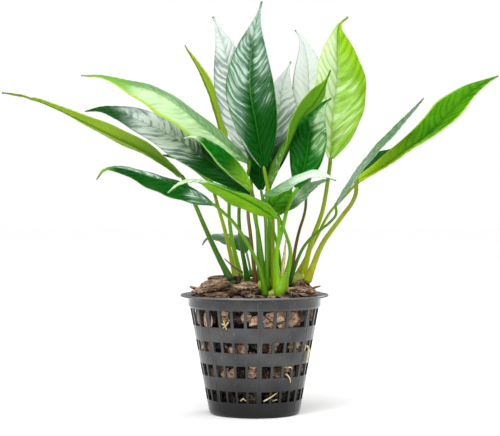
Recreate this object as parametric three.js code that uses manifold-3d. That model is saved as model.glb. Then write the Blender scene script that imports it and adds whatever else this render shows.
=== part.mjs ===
// Potted anubias: a small aquarium plant in a slotted net pot.
// Millimetres, +Z up. The origin is the middle of the pot's underside, and -Y is the front.
import * as THREE from 'three';
import { mergeVertices } from 'three/addons/utils/BufferGeometryUtils.js';
import Module from 'manifold-3d';

// ---- driving dimensions -------------------------------------------------------------------

const POT_HEIGHT = 44.8;
const BASE_RADIUS = 16.9;
const WALL_TAPER = 0.185; // outward lean of the wall per mm of height
const WALL = 1.2;
const BASE_THICKNESS = 1.5;
const BASE_ROUND = 1.2; // rounding between the base and the wall
const MOUTH_BEVEL = 0.6;
const COLLAR_BOTTOM = 39.9;
const COLLAR_RADIUS = 24.9;
const FLANGE_RADIUS = 28;
const FLANGE_THICKNESS = 1.2;
const CLEARANCE = 0.4; // between the pot and what fills it

const SECTORS = 7; // the wall has one wide rib per sector
const SLOTS_PER_SECTOR = 4;
const SLOT_COUNT = SECTORS * SLOTS_PER_SECTOR;
const SLOT_ANGLE = THREE.MathUtils.degToRad(9.7);
const THIN_RIB_ANGLE = THREE.MathUtils.degToRad(2.7);
const WIDE_RIB_ANGLE = THREE.MathUtils.degToRad(5); // where the first wide rib stands, from the front
const SLOT_ROWS = [[5.7, 9.9], [14.9, 19.4], [24.2, 28], [33.4, 39.7]]; // bottom and top of each row
const BASE_SLOT_RADII = [6.5, 13.5];
const BASE_SLOT_ANGLE = THREE.MathUtils.degToRad(26);

const BLADE_STATIONS = 11; // rings along a blade, before its tip
const LEAF_THICKNESS = 0.5;
const KEEL_DEPTH = 0.8; // how far the midrib stands below the blade
const PETIOLE_SIDES = 8;
const PETIOLE_STEPS = 9;
const NODE_GAP = 0.7; // between a petiole and its blade

// ---- helpers ------------------------------------------------------------------------------

const vector = ([x, y, z]) => new THREE.Vector3(x, y, z);
const curveThrough = (points) => new THREE.CatmullRomCurve3(points.map(vector), false, 'centripetal');

function meshNamed(name, geometry, { color, roughness = 0.6 }) {
  const mesh = new THREE.Mesh(geometry, new THREE.MeshStandardMaterial({ color, roughness, metalness: 0 }));
  mesh.name = name;
  return mesh;
}

// Six times the volume inside a set of triangles; negative when the faces point inwards.
function signedVolume(points, triangles) {
  let total = 0;
  for (const [a, b, c] of triangles) {
    total += points[a].dot(new THREE.Vector3().crossVectors(points[b], points[c]));
  }
  return total;
}

function geometryFrom(points, triangles) {
  const outward = signedVolume(points, triangles) > 0;
  const numbers = points.flatMap((p) => p.toArray());
  const geometry = new THREE.BufferGeometry();
  geometry.setAttribute('position', new THREE.Float32BufferAttribute(numbers, 3));
  geometry.setIndex(triangles.flatMap(([a, b, c]) => (outward ? [a, b, c] : [a, c, b])));
  geometry.computeVertexNormals();
  return geometry;
}

// A closed skin over rings of equal count, with one point closing each end.
function loft(rings, firstPoint, lastPoint) {
  const count = rings[0].length;
  const points = [...rings.flat(), firstPoint, lastPoint];
  const first = points.length - 2;
  const last = points.length - 1;
  const triangles = [];
  for (let i = 0; i < count; i += 1) {
    const next = (i + 1) % count;
    for (let row = 0; row < rings.length - 1; row += 1) {
      const low = row * count;
      const high = low + count;
      triangles.push([low + i, low + next, high + next], [low + i, high + next, high + i]);
    }
    const top = (rings.length - 1) * count;
    triangles.push([first, next, i], [last, top + i, top + next]);
  }
  return geometryFrom(points, triangles);
}

// A round rod along hand-placed points, whose radius runs through the given values.
function rodGeometry(points, radii, { sides = PETIOLE_SIDES, steps = PETIOLE_STEPS } = {}) {
  const curve = curveThrough(points);
  const frames = curve.computeFrenetFrames(steps, false);
  const radius = new THREE.SplineCurve(radii.map((r, i) => new THREE.Vector2(i / (radii.length - 1), r)));
  const rings = [];
  for (let i = 0; i <= steps; i += 1) {
    const centre = curve.getPointAt(i / steps);
    const r = radius.getPoint(i / steps).y;
    rings.push(Array.from({ length: sides }, (_, side) => {
      const turn = (2 * Math.PI * side) / sides;
      return centre.clone()
        .addScaledVector(frames.normals[i], r * Math.cos(turn))
        .addScaledVector(frames.binormals[i], r * Math.sin(turn));
    }));
  }
  return loft(rings, curve.getPointAt(0), curve.getPointAt(1));
}

// ---- booleans -----------------------------------------------------------------------------

const wasm = await Module();
wasm.setup();

function solidFrom(geometry) {
  const bare = geometry.clone();
  bare.deleteAttribute('normal');
  bare.deleteAttribute('uv');
  const merged = mergeVertices(bare, 1e-4);
  return new wasm.Manifold(new wasm.Mesh({
    numProp: 3,
    vertProperties: new Float32Array(merged.attributes.position.array),
    triVerts: new Uint32Array(merged.index.array),
  }));
}

function geometryFromSolid(solid) {
  const { vertProperties, triVerts } = solid.getMesh();
  const geometry = new THREE.BufferGeometry();
  geometry.setAttribute('position', new THREE.Float32BufferAttribute(vertProperties, 3));
  geometry.setIndex(Array.from(triVerts));
  geometry.computeVertexNormals();
  return geometry;
}

// ---- net pot ------------------------------------------------------------------------------

const wallRadius = (z) => BASE_RADIUS + WALL_TAPER * z;

// Closed profile turned about Z; the flat facets are one slot pitch wide.
function turned(profile) {
  const geometry = new THREE.LatheGeometry(profile.map(([r, z]) => new THREE.Vector2(r, z)), SLOT_COUNT);
  geometry.rotateX(Math.PI / 2);
  const firstFacet = WIDE_RIB_ANGLE - Math.PI / 2;
  geometry.rotateZ(firstFacet);
  return geometry;
}

// A block between two radii, two heights and an angle either side of a direction.
function wedge(direction, angle, [inner, outer], [bottom, top]) {
  const shape = new THREE.Shape([
    [inner, -angle / 2], [outer, -angle / 2], [outer, angle / 2], [inner, angle / 2],
  ].map(([r, a]) => new THREE.Vector2(r * Math.cos(a), r * Math.sin(a))));
  const block = new THREE.ExtrudeGeometry(shape, { depth: top - bottom, bevelEnabled: false });
  block.rotateZ(direction);
  block.translate(0, 0, bottom);
  return block;
}

// Directions of the slots' middles, counted from the front towards +X.
function slotDirections() {
  const sector = (2 * Math.PI) / SECTORS;
  const pitch = SLOT_ANGLE + THIN_RIB_ANGLE;
  const directions = [];
  for (let s = 0; s < SECTORS; s += 1) {
    for (let k = 0; k < SLOTS_PER_SECTOR; k += 1) {
      const withinSector = (k - (SLOTS_PER_SECTOR - 1) / 2) * pitch;
      directions.push(-Math.PI / 2 + WIDE_RIB_ANGLE + (s + 0.5) * sector + withinSector);
    }
  }
  return directions;
}

function netPot() {
  const innerTop = COLLAR_RADIUS - WALL;
  const profile = [
    [0, 0], [BASE_RADIUS - BASE_ROUND, 0], [BASE_RADIUS - 0.2, 0.4 * BASE_ROUND], [wallRadius(1.6), 1.6],
    [wallRadius(COLLAR_BOTTOM), COLLAR_BOTTOM], [COLLAR_RADIUS, COLLAR_BOTTOM + 0.5],
    [COLLAR_RADIUS, POT_HEIGHT - FLANGE_THICKNESS], [FLANGE_RADIUS, POT_HEIGHT - FLANGE_THICKNESS],
    [FLANGE_RADIUS, POT_HEIGHT], [innerTop + MOUTH_BEVEL, POT_HEIGHT], [innerTop, POT_HEIGHT - MOUTH_BEVEL],
    [innerTop, COLLAR_BOTTOM + 0.6], [wallRadius(COLLAR_BOTTOM) - WALL, COLLAR_BOTTOM - 0.2],
    [wallRadius(BASE_THICKNESS) - WALL, BASE_THICKNESS], [0, BASE_THICKNESS],
  ];
  let pot = solidFrom(turned(profile));
  for (const [bottom, top] of SLOT_ROWS) {
    const reach = [wallRadius(bottom) - 3, wallRadius(top) + 3];
    for (const direction of slotDirections()) {
      pot = pot.subtract(solidFrom(wedge(direction, SLOT_ANGLE, reach, [bottom, top])));
    }
  }
  const throughBase = [-1, BASE_THICKNESS + 1];
  for (let s = 0; s < SECTORS; s += 1) {
    const direction = (2 * Math.PI * s) / SECTORS;
    pot = pot.subtract(solidFrom(wedge(direction, BASE_SLOT_ANGLE, BASE_SLOT_RADII, throughBase)));
  }
  return meshNamed('net_pot', geometryFromSolid(pot), { color: 0x3b3d40, roughness: 0.45 });
}

// ---- growing medium, bark and roots -------------------------------------------------------

const MEDIUM_SECTORS = 28;
const MEDIUM_TOP = 43.2;
const BARK_BLOCKINESS = 0.75; // 1 for a round lump, less for a squarer one

// The plug of chopped bark and fibre: it follows the pot's inside and has an uneven top.
function growingMedium() {
  const radiusAt = (z) => (wallRadius(z) - WALL - CLEARANCE) * Math.cos(Math.PI / SLOT_COUNT);
  const unevenness = (r, a) => 0.5 * Math.sin(3 * a + 0.4 * r) + 0.4 * Math.cos(5 * a - 0.3 * r);
  const ringAt = (r, height) => Array.from({ length: MEDIUM_SECTORS }, (_, i) => {
    const a = (2 * Math.PI * i) / MEDIUM_SECTORS;
    return new THREE.Vector3(r * Math.cos(a), r * Math.sin(a), height(r, a));
  });
  const bottom = BASE_THICKNESS + CLEARANCE;
  const rings = [
    ringAt(radiusAt(bottom) - 1, () => bottom),
    ringAt(radiusAt(bottom + 1), () => bottom + 1),
    ringAt(radiusAt(20), () => 20),
    ringAt(radiusAt(MEDIUM_TOP - 4), () => MEDIUM_TOP - 4),
    ...[22.4, 18, 12, 6].map((r) => ringAt(r, (ring, a) => MEDIUM_TOP - 0.06 * ring + unevenness(ring, a))),
  ];
  const geometry = loft(rings, new THREE.Vector3(0, 0, bottom), new THREE.Vector3(0, 0, MEDIUM_TOP));
  return meshNamed('growing_medium', geometry, { color: 0x3a2a22, roughness: 0.95 });
}

// A broken piece of bark: a flattened lump with a rough skin.
function barkPiece({ name, at, size, turn = 0, tilt = [0, 0], seed }) {
  const lump = new THREE.IcosahedronGeometry(1, 3);
  lump.deleteAttribute('normal');
  lump.deleteAttribute('uv');
  const geometry = mergeVertices(lump, 1e-4);
  const position = geometry.attributes.position;
  const p = new THREE.Vector3();
  for (let i = 0; i < position.count; i += 1) {
    p.fromBufferAttribute(position, i);
    const blocky = p.toArray().map((c) => Math.sign(c) * Math.abs(c) ** BARK_BLOCKINESS);
    const ridges = 0.07 * Math.sin(5 * p.x + seed) * Math.cos(6 * p.y - seed);
    const layers = 0.05 * Math.sin(9 * p.z + 2 * seed);
    position.setXYZ(i, ...blocky.map((c, axis) => c * (1 + ridges + layers) * size[axis]));
  }
  geometry.rotateX(THREE.MathUtils.degToRad(tilt[0]));
  geometry.rotateY(THREE.MathUtils.degToRad(tilt[1]));
  geometry.rotateZ(THREE.MathUtils.degToRad(turn));
  geometry.translate(...at);
  geometry.computeVertexNormals();
  return meshNamed(name, geometry, { color: 0x6d5443, roughness: 0.9 });
}

const BARK = [
  {
    name: 'bark_slab_left', at: [-15.4, -7.4, 47.4], size: [7.4, 6, 2.9],
    turn: 20, tilt: [8, -16], seed: 1,
  },
  {
    name: 'bark_slab_centre', at: [-2.6, -9, 47.4], size: [4.6, 4, 2.7],
    turn: -15, tilt: [12, 8], seed: 2,
  },
  {
    name: 'bark_slab_right', at: [17.6, -9.6, 46.5], size: [5.6, 4.2, 1.6],
    turn: 28, tilt: [0, 6], seed: 3,
  },
  {
    name: 'bark_slab_back', at: [6, 15.4, 46.4], size: [8.4, 4.6, 2.1],
    turn: 8, tilt: [-6, 4], seed: 4,
  },
  {
    name: 'bark_chip_back_left', at: [-12.6, 12.6, 46], size: [5.2, 4, 1.9],
    turn: -35, tilt: [-4, -6], seed: 5,
  },
];

const RHIZOMES = [
  {
    name: 'rhizome_left',
    path: [[-10.4, 1.4, 46.6], [-6.6, 4.4, 47.2], [-2.2, 6.6, 48.4]],
    radii: [1.2, 2.4, 2.7, 2.4, 1.4],
  },
  {
    name: 'rhizome_middle',
    path: [[0.2, -2, 47.4], [4.6, -0.6, 47.6], [6.4, 5, 47.2]],
    radii: [1.6, 2.6, 3, 2.6, 1.4],
  },
  {
    name: 'rhizome_front',
    path: [[4, -10.4, 44.6], [8.2, -8.8, 45.2], [11.4, -5.6, 44.9]],
    radii: [1, 1.6, 1.8, 1.6, 1],
  },
  {
    name: 'rhizome_right',
    path: [[13.2, 0.6, 49.6], [17, 3.4, 49.8], [20.6, 3, 49.4]],
    radii: [1.6, 2.4, 2.7, 2.3, 1.4],
  },
];

// Thin trim: a root that hangs out of a slot, and what is left of two old leaves.
const TRIM = [
  {
    name: 'root_right_side', color: 0xb9a24e, radii: [0.4, 0.4, 0.25],
    path: [[18.4, -9.2, 26], [19.9, -9.9, 25.6], [19.8, -9.8, 23], [19.2, -9.5, 20]],
  },
  {
    name: 'dry_sheath_front', color: 0xc2b84a, radii: [0.75, 0.6, 0.25],
    path: [[9.9, -10.6, 51], [10.6, -10.8, 56.4], [11.6, -10.2, 65.2]],
  },
  {
    name: 'dry_stalk_left', color: 0x6b4a3a, radii: [0.45, 0.35, 0.2],
    path: [[-4.6, 0.4, 52.8], [-8, 0.6, 55], [-11.2, 1, 57.8]],
  },
];

// ---- leaves -------------------------------------------------------------------------------

// Each leaf is a petiole and a blade.
//   foot    where the petiole leaves the rhizome, with up to four more points of its way up
//   spine   the midrib, from where the petiole meets the blade to the tip
//   half    half the blade's width, where it is widest
//   widest  how far along that is
//   outline width beside the usual profile: [how far along, factor], straight between them
//   face    the way the upper side looks, at the base, the middle and the tip
//   fold    degrees by which the two halves rise from the midrib (below 0, they droop)
//   stalk   the petiole's radius at its foot and at the blade
const DARK = 0x1f5a24;
const GREY = 0x6f9a80;
const LIME = 0x86b92b;
const MINT = 0x9fcf8f;

const LEAVES = [
  {
    name: 'tall_front', color: DARK, half: 9.9, widest: 0.44, stalk: [1.05, 0.8],
    outline: [[0, 1], [0.43, 0.95], [0.53, 0.88], [0.77, 0.77], [0.89, 0.55], [1, 0.6]],
    foot: [[7.2, -3.8, 50], [6.8, -4.2, 62], [6.8, -4.4, 73], [4.9, -4.6, 84.6]],
    spine: [[3.5, -4.6, 92], [0.4, -4, 109.4], [-1.7, -1, 122], [-0.9, 6, 138.8], [2.8, 15, 156.6]],
    face: [[0, -1, 0.1], [-0.05, -0.95, 0.3], [0, -0.9, 0.4]], fold: [16, 10, 6],
  },
  {
    name: 'tall_left_back', color: GREY, half: 7, widest: 0.5, stalk: [1, 0.7],
    foot: [[1.9, 3.4, 50.4], [0.9, 5, 70.5], [-0.9, 6, 83]],
    spine: [[-1.9, 7, 94.8], [-5.5, 12, 107.6], [-8.7, 21, 124.8], [-12, 29, 141.2], [-16.5, 34, 153]],
    face: [[-0.3, -0.9, 0.4], [-0.3, -0.8, 0.5], [-0.2, -0.7, 0.6]], fold: [10, 6, 4],
  },
  {
    name: 'narrow_left_back', color: LIME, half: 7, widest: 0.42, stalk: [1.2, 0.8],
    outline: [[0, 0.7], [1, 0.7]],
    foot: [[-5.1, 8.4, 50.2], [-7.6, 11, 60], [-9.6, 14.5, 71.9], [-9.8, 18, 82]],
    spine: [
      [-10.3, 21, 93.6], [-13.1, 27, 107.5], [-16.8, 33, 120.5],
      [-21.8, 39, 132.2], [-27.8, 44, 142.5],
    ],
    face: [[0.8, 0.4, 0.3], [0.8, 0.45, 0.35], [0.75, 0.45, 0.4]], fold: [10, 12, 8],
  },
  {
    name: 'upper_left', color: MINT, half: 8.4, widest: 0.64, stalk: [1, 0.75],
    outline: [[0, 1], [0.58, 1], [0.7, 0.82], [0.78, 0.55], [0.88, 0.42], [1, 0.5]],
    foot: [[-2.8, 3.4, 50.9], [-5.4, 3, 66], [-5.6, 1.6, 79], [-3, 0.4, 88]],
    spine: [
      [-2.3, 0, 94.3], [-15.8, -6, 104.6], [-30.1, -11, 116.2], [-37.1, -12, 120.2],
      [-45.8, -13, 122.7], [-54.9, -14, 125.3], [-63.6, -15, 125.8],
    ],
    face: [[0.3, -0.8, 0.5], [0.15, -0.6, 0.8], [0, -0.5, 0.85]], fold: [-4, -22, -14],
  },
  {
    name: 'short_left', color: DARK, half: 3.9, widest: 0.45, stalk: [0.9, 0.75],
    foot: [[0.3, -2.4, 50.2], [-1.4, -5, 66], [-2.4, -8.4, 77]],
    spine: [
      [-1.3, -10.5, 83.7], [-5.4, -12.5, 89.6], [-10.9, -15, 95.8],
      [-17, -17, 100.8], [-21.7, -18, 103.1], [-26.1, -18, 102.6],
    ],
    face: [[0, -0.85, 0.5], [-0.1, -0.75, 0.65], [-0.2, -0.5, 0.85]], fold: [-10, -25, -10],
  },
  {
    name: 'broad_left', color: DARK, half: 8.4, widest: 0.46, stalk: [1.15, 0.85],
    outline: [[0, 1], [0.65, 1.05], [0.85, 1.5], [0.94, 2], [1, 1.8]],
    foot: [[3.7, -3.4, 50.6], [1.6, -6, 66], [-0.2, -6.5, 76]],
    spine: [
      [-1.3, -6, 82.6], [-9.2, -4.5, 88.9], [-17.8, -2.5, 95.3], [-32.6, 1, 104.9],
      [-47.1, 4, 111.4], [-57.1, 5, 114.3], [-64.3, 5, 113.8],
    ],
    face: [[-0.1, -0.8, 0.55], [-0.1, -0.65, 0.75], [-0.1, -0.5, 0.85]], fold: [6, 4, 2],
  },
  {
    name: 'far_left', color: LIME, half: 6, widest: 0.36, stalk: [1.45, 0.95],
    outline: [[0, 1], [0.4, 0.95], [0.7, 0.6], [1, 0.6]],
    foot: [[-9, 0.2, 50], [-13.5, 2.4, 58.4], [-18.8, 5.6, 69.6], [-22.9, 9, 78.9]],
    spine: [
      [-28.1, 11, 89.2], [-40.2, 15, 97.9], [-56.1, 20, 105.8],
      [-72.2, 24, 113.7], [-86.5, 28, 119.8], [-99.8, 30, 122.3],
    ],
    face: [[0.4, 0.5, 0.8], [0.35, 0.5, 0.8], [0.3, 0.3, 0.9]], fold: [12, 8, 6],
  },
  {
    name: 'low_left', color: DARK, half: 7.2, widest: 0.4, stalk: [0.95, 0.7],
    foot: [[3.6, -11.4, 47.2], [1.9, -12.6, 54.5], [-1.7, -14.4, 62.4], [-7.9, -17, 72]],
    spine: [
      [-15.2, -18, 78.5], [-26.8, -20, 84.6], [-38.3, -22, 88.9],
      [-47.9, -24, 91.4], [-53.9, -25, 91.2], [-57, -26, 87.5],
    ],
    face: [[-0.1, -0.5, 0.85], [-0.1, -0.45, 0.9], [-0.5, -0.4, 0.75]], fold: [-8, -18, -10],
  },
  {
    name: 'front_arching', color: LIME, half: 8, widest: 0.34, stalk: [1.05, 0.75],
    foot: [[8.6, -12.2, 48.2], [8.2, -13.4, 59.4], [9, -13.8, 68.2]],
    spine: [
      [8.2, -13.6, 73.7], [2.7, -16.5, 77.4], [-3.9, -21, 81.1], [-11.7, -27, 84.7],
      [-19.5, -32, 87.1], [-25.7, -36, 86.4], [-30.8, -39, 82.5],
    ],
    face: [[0.3, 0.55, 0.85], [0.1, 0.1, 1], [-0.4, -0.5, 0.75]], fold: [-10, -12, -8],
  },
  {
    name: 'behind_left', color: LIME, half: 5.6, widest: 0.42, stalk: [1.15, 0.8],
    foot: [[-7, 4, 50.4], [-8.6, 5.4, 57], [-11.2, 7, 68.2], [-14.6, 8.6, 80]],
    spine: [[-17, 10, 87.6], [-22.3, 11, 91.8], [-28.5, 12, 95.8], [-35, 13, 97.6]],
    face: [[-0.1, 0.2, 0.95], [0, 0.2, 0.95], [0, 0.1, 0.95]], fold: [8, 6, 4],
  },
  {
    name: 'upright_centre_back', color: GREY, half: 7.2, widest: 0.5, stalk: [0.9, 0.7],
    foot: [[6.2, 5.4, 51], [5.9, 6.2, 62], [5.6, 6.6, 74.3]],
    spine: [[5.1, 8, 86.9], [7.5, 12, 99.2], [9.5, 18, 113], [11.2, 24, 125], [14.3, 28, 134.6]],
    face: [[0, -0.9, 0.4], [0, -0.85, 0.5], [0, -0.8, 0.6]], fold: [8, 6, 4],
  },
  {
    name: 'dark_centre', color: DARK, half: 4.6, widest: 0.42, stalk: [0.8, 0.65],
    foot: [[4.6, 1.4, 51], [4.4, 1.6, 62], [4, 2, 73.2]],
    spine: [[2.5, 3, 83.8], [1.8, 4.5, 91.4], [2.2, 6, 99], [3.2, 8, 107.4]],
    face: [[-0.1, -0.95, 0.2], [-0.1, -0.95, 0.3], [0, -0.9, 0.4]], fold: [8, 6, 4],
  },
  {
    name: 'upright_right_back', color: GREY, half: 6.8, widest: 0.6, stalk: [0.85, 0.65],
    foot: [[14.2, 3.2, 52.2], [15.4, 6.6, 60.8], [17, 8.6, 67.9], [19.4, 10.6, 75.9]],
    spine: [
      [19.9, 12, 84.4], [20, 18, 99.4], [21.3, 25, 115.3],
      [21.5, 33, 131.7], [20, 38, 142.1], [16.7, 41, 148.5],
    ],
    face: [[0.2, -0.85, 0.4], [0.15, -0.85, 0.5], [0.1, -0.75, 0.6]], fold: [8, 6, 4],
  },
  {
    name: 'tall_right', color: LIME, half: 11.8, widest: 0.45, stalk: [1.3, 0.9],
    outline: [[0, 1], [0.74, 1], [0.82, 0.9], [0.89, 0.6], [0.94, 0.38], [1, 0.4]],
    foot: [[18.6, 5.2, 52.4], [21.9, 6.6, 64.7], [25.7, 8.2, 74.9], [28, 9, 87]],
    spine: [
      [29.1, 10, 95.8], [30.3, 13.5, 112.2], [32.2, 17, 127.9],
      [32.6, 20.5, 141.8], [33.4, 22, 148.8], [36.6, 23, 151.6],
    ],
    face: [[0.35, -0.95, 0.15], [0.45, -0.85, 0.3], [0.2, -0.85, 0.5]], fold: [22, 20, 8],
  },
  {
    name: 'twisted_right', color: DARK, half: 6.2, widest: 0.6, stalk: [0.85, 0.7],
    outline: [[0, 0.9], [0.4, 0.9], [0.7, 1.1], [0.83, 1.25], [0.9, 0.6], [0.95, 0.4], [1, 0.4]],
    foot: [[6.7, -0.8, 50.8], [6.2, -0.8, 66], [5.4, -0.6, 77.6]],
    spine: [
      [4.7, -0.6, 83], [8, -2.2, 92], [12.5, -5.2, 101.3], [16.7, -6.6, 110.5],
      [21.9, -7.6, 116.2], [25.1, -7.6, 121.4], [28.1, -7, 128.4],
    ],
    face: [[-0.6, -0.75, 0.3], [-0.9, 0.15, 0.4], [-0.3, 0.8, 0.5]], fold: [8, 10, 8],
  },
  {
    name: 'broad_right', color: DARK, half: 7, widest: 0.5, stalk: [1.15, 0.85],
    foot: [[7.9, -8.2, 48.6], [7.9, -9.4, 59.3], [10.3, -10, 69.3], [12.8, -9, 78.9]],
    spine: [[15.8, -6.4, 84.4], [19.2, -2.2, 95], [21.1, 1.5, 106.4], [24.4, 3, 113.9], [29, 3.5, 118.6]],
    face: [[-0.1, -0.97, 0.2], [-0.05, -0.97, 0.25], [0, -0.9, 0.3]], fold: [10, 6, 4],
  },
  {
    name: 'front_right', color: MINT, half: 6, widest: 0.42, stalk: [0.85, 0.65],
    foot: [[4.8, -7.6, 49.6], [4.6, -8.2, 62], [4, -9, 76.3]],
    spine: [
      [3.5, -10.5, 81.8], [9.3, -16, 85.1], [15.3, -21, 88.3],
      [20.3, -25, 89.9], [24.8, -28, 89.1], [28.9, -31, 87.1],
    ],
    face: [[0, -0.6, 0.8], [0, -0.5, 0.85], [0.3, -0.6, 0.75]], fold: [-8, -12, -8],
  },
  {
    name: 'low_right', color: GREY, half: 4.4, widest: 0.45, stalk: [1.7, 0.7],
    foot: [[10.4, -7.6, 47.8], [12.4, -6, 54], [13.4, -4.4, 60.8], [12, -2.6, 66.4]],
    spine: [[9.4, 0.6, 75], [13.7, 1.6, 78.5], [19.1, 2.6, 83.4], [24, 3, 86.4], [28.6, 3, 88.3]],
    face: [[0, -0.5, 0.85], [-0.2, -0.45, 0.85], [-0.2, -0.4, 0.9]], fold: [4, 2, 2],
  },
  {
    name: 'small_centre', color: LIME, half: 5, widest: 0.4, stalk: [0.75, 0.6],
    foot: [[10.4, -4, 48.8], [9.4, -5.4, 58], [7.8, -6.4, 66]],
    spine: [[5.2, -7.6, 75.4], [7.2, -7, 78], [9.6, -5.6, 80.6], [12, -3.4, 83], [14.4, -1, 85.2]],
    face: [[-0.05, -0.95, 0.3], [-0.05, -0.95, 0.25], [-0.1, -0.9, 0.4]], fold: [8, 6, 4],
  },
  {
    name: 'small_low_left', color: DARK, half: 4.6, widest: 0.36, stalk: [0.65, 0.5],
    foot: [[-1.4, 7.4, 52.8], [-2, 9.6, 55.6]],
    spine: [
      [-3.2, 12, 60], [-5.6, 15, 64.2], [-10.2, 19, 65.6],
      [-15.8, 23, 66], [-18.9, 25, 65], [-20.6, 26, 62.4],
    ],
    face: [[-0.4, -0.6, 0.7], [-0.1, -0.3, 0.95], [-0.5, -0.2, 0.8]], fold: [-6, -10, -6],
  },
  {
    name: 'far_right', color: LIME, half: 7.6, widest: 0.56, stalk: [1.35, 0.95],
    outline: [[0, 0.8], [0.3, 0.62], [0.5, 0.75], [0.65, 0.95], [1, 1]],
    foot: [[20.7, 1, 51.6], [25.3, -0.4, 63.1], [32.2, 1, 72.8], [38, 3, 81.1]],
    spine: [
      [39.2, 4, 87.4], [47.8, 3, 92], [58.4, 1, 99.4], [65.9, -1, 104.8],
      [74.6, -3, 113.8], [81.5, -5, 120.8], [90.5, -7, 126.3],
    ],
    face: [[-0.1, -0.75, 0.75], [-0.1, -0.75, 0.7], [-0.1, -0.8, 0.55]], fold: [40, 38, 10],
  },
  {
    name: 'small_right', color: DARK, half: 4, widest: 0.45, stalk: [0.9, 0.6],
    foot: [[16.4, 6.8, 51.8], [24.5, 11, 67], [28.7, 12, 74.9], [34.5, 11.5, 81.3]],
    spine: [[39.3, 11, 86.7], [43.5, 12.5, 92.4], [48.4, 14.5, 97], [54, 16, 100.1]],
    face: [[-0.6, -0.6, 0.5], [-0.6, -0.6, 0.5], [-0.5, -0.6, 0.6]], fold: [8, 6, 4],
  },
  {
    name: 'narrow_right', color: GREY, half: 5.6, widest: 0.45, stalk: [0.8, 0.6],
    outline: [[0, 0.6], [0.4, 0.6], [0.7, 0.8], [1, 0.9]],
    foot: [[13.8, -1.6, 51.4], [18.1, -3.8, 62], [22.2, -4.6, 66.9], [28.4, -5, 72], [30.6, -5, 75.2]],
    spine: [
      [30.6, -5, 78.9], [34.7, -5, 84.8], [39.9, -4.5, 91.8],
      [46.2, -4, 99.3], [54.6, -3, 108.3], [63.4, -1, 118.4],
    ],
    face: [[-0.8, -0.3, 0.6], [-0.75, -0.3, 0.6], [-0.7, -0.35, 0.6]], fold: [6, 4, 2],
  },
];

const threeWay = ([a, b, c], u) => (u < 0.5
  ? THREE.MathUtils.lerp(a, b, 2 * u)
  : THREE.MathUtils.lerp(b, c, 2 * u - 1));

const PLAIN_OUTLINE = [[0, 1], [1, 1]];

// Half width along a blade, 1 where it is widest: a round base and a long drawn-out tip.
function widthProfile(u, widest) {
  const [nearness, power] = u < widest ? [u / widest, 0.75] : [(1 - u) / (1 - widest), 1.5];
  return nearness ** power * (1 + power * (1 - nearness));
}

// The factor on a blade's width at u, between the steps of its outline.
function outlineFactor(outline, u) {
  const next = outline.findIndex(([at]) => at >= u);
  if (next <= 0) {
    return outline[Math.max(next, 0)][1];
  }
  const [[from, before], [to, after]] = [outline[next - 1], outline[next]];
  return THREE.MathUtils.mapLinear(u, from, to, before, after);
}

// One ring of nine points: left edge, three over the top, right edge, four along the underside.
function bladeRing({ half, widest, outline, face, fold, stalk }, curve, u) {
  const centre = curve.getPointAt(u);
  const along = curve.getTangentAt(u);
  const looks = new THREE.Vector3(...[0, 1, 2].map((axis) => threeWay(face.map((f) => f[axis]), u)));
  const up = looks.addScaledVector(along, -looks.dot(along)).normalize();
  const side = new THREE.Vector3().crossVectors(along, up);
  const usual = half * widthProfile(Math.max(u, 0.001), widest) * outlineFactor(outline ?? PLAIN_OUTLINE, u);
  const width = Math.max(usual, stalk[1] * (1 - u) + 0.3);
  const rise = THREE.MathUtils.degToRad(threeWay(fold, u));
  const camber = 0.05 * width;
  const keel = KEEL_DEPTH * (1 - 0.7 * u);
  const point = (across, lift) => centre.clone()
    .addScaledVector(side, across * width * Math.cos(rise))
    .addScaledVector(up, Math.abs(across) * width * Math.sin(rise) + lift);
  const thick = LEAF_THICKNESS / 2;
  const keelHalf = 0.4 / width;
  return [
    point(-1, 0), point(-0.5, camber + thick), point(0, thick), point(0.5, camber + thick), point(1, 0),
    point(0.5, camber - thick), point(keelHalf, -keel), point(-keelHalf, -keel), point(-0.5, camber - thick),
  ];
}

function bladeGeometry(leaf) {
  const curve = curveThrough(leaf.spine);
  const rings = Array.from({ length: BLADE_STATIONS }, (_, i) => bladeRing(leaf, curve, i / BLADE_STATIONS));
  return loft(rings, curve.getPointAt(0), curve.getPointAt(1));
}

function petioleGeometry({ foot, spine, stalk }) {
  const blade = curveThrough(spine);
  const top = blade.getPointAt(0).addScaledVector(blade.getTangentAt(0), -NODE_GAP);
  const [thick, thin] = stalk;
  const way = thick - thin;
  return rodGeometry([...foot, top.toArray()], [thick, thin + 0.5 * way, thin + 0.15 * way, thin, thin]);
}

// ---- assembly -----------------------------------------------------------------------------

const plant = new THREE.Group();
plant.add(netPot(), growingMedium());
for (const piece of BARK) {
  plant.add(barkPiece(piece));
}
for (const { name, path, radii } of RHIZOMES) {
  plant.add(meshNamed(name, rodGeometry(path, radii, { steps: 8 }), { color: 0x7d8f35, roughness: 0.7 }));
}
for (const { name, path, radii, color } of TRIM) {
  plant.add(meshNamed(name, rodGeometry(path, radii, { sides: 6, steps: 6 }), { color, roughness: 0.7 }));
}
for (const leaf of LEAVES) {
  plant.add(meshNamed(`blade_${leaf.name}`, bladeGeometry(leaf), { color: leaf.color, roughness: 0.35 }));
  plant.add(meshNamed(`petiole_${leaf.name}`, petioleGeometry(leaf), { color: 0x6f9a2c, roughness: 0.4 }));
}

export default plant;
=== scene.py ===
"""Potted anubias: leaves on a creeping rhizome, in bark in a slotted net pot.

Metres, +Z up, the front looks along -Y. Every leaf and stalk, and every main lump of bark, is
built on the CAD solid that it stands for, so that it keeps that solid's place and size.
"""
import math
import random
from contextlib import contextmanager

import bmesh
import bpy
import numpy as np
from mathutils import Euler, Matrix, Vector, noise


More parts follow.
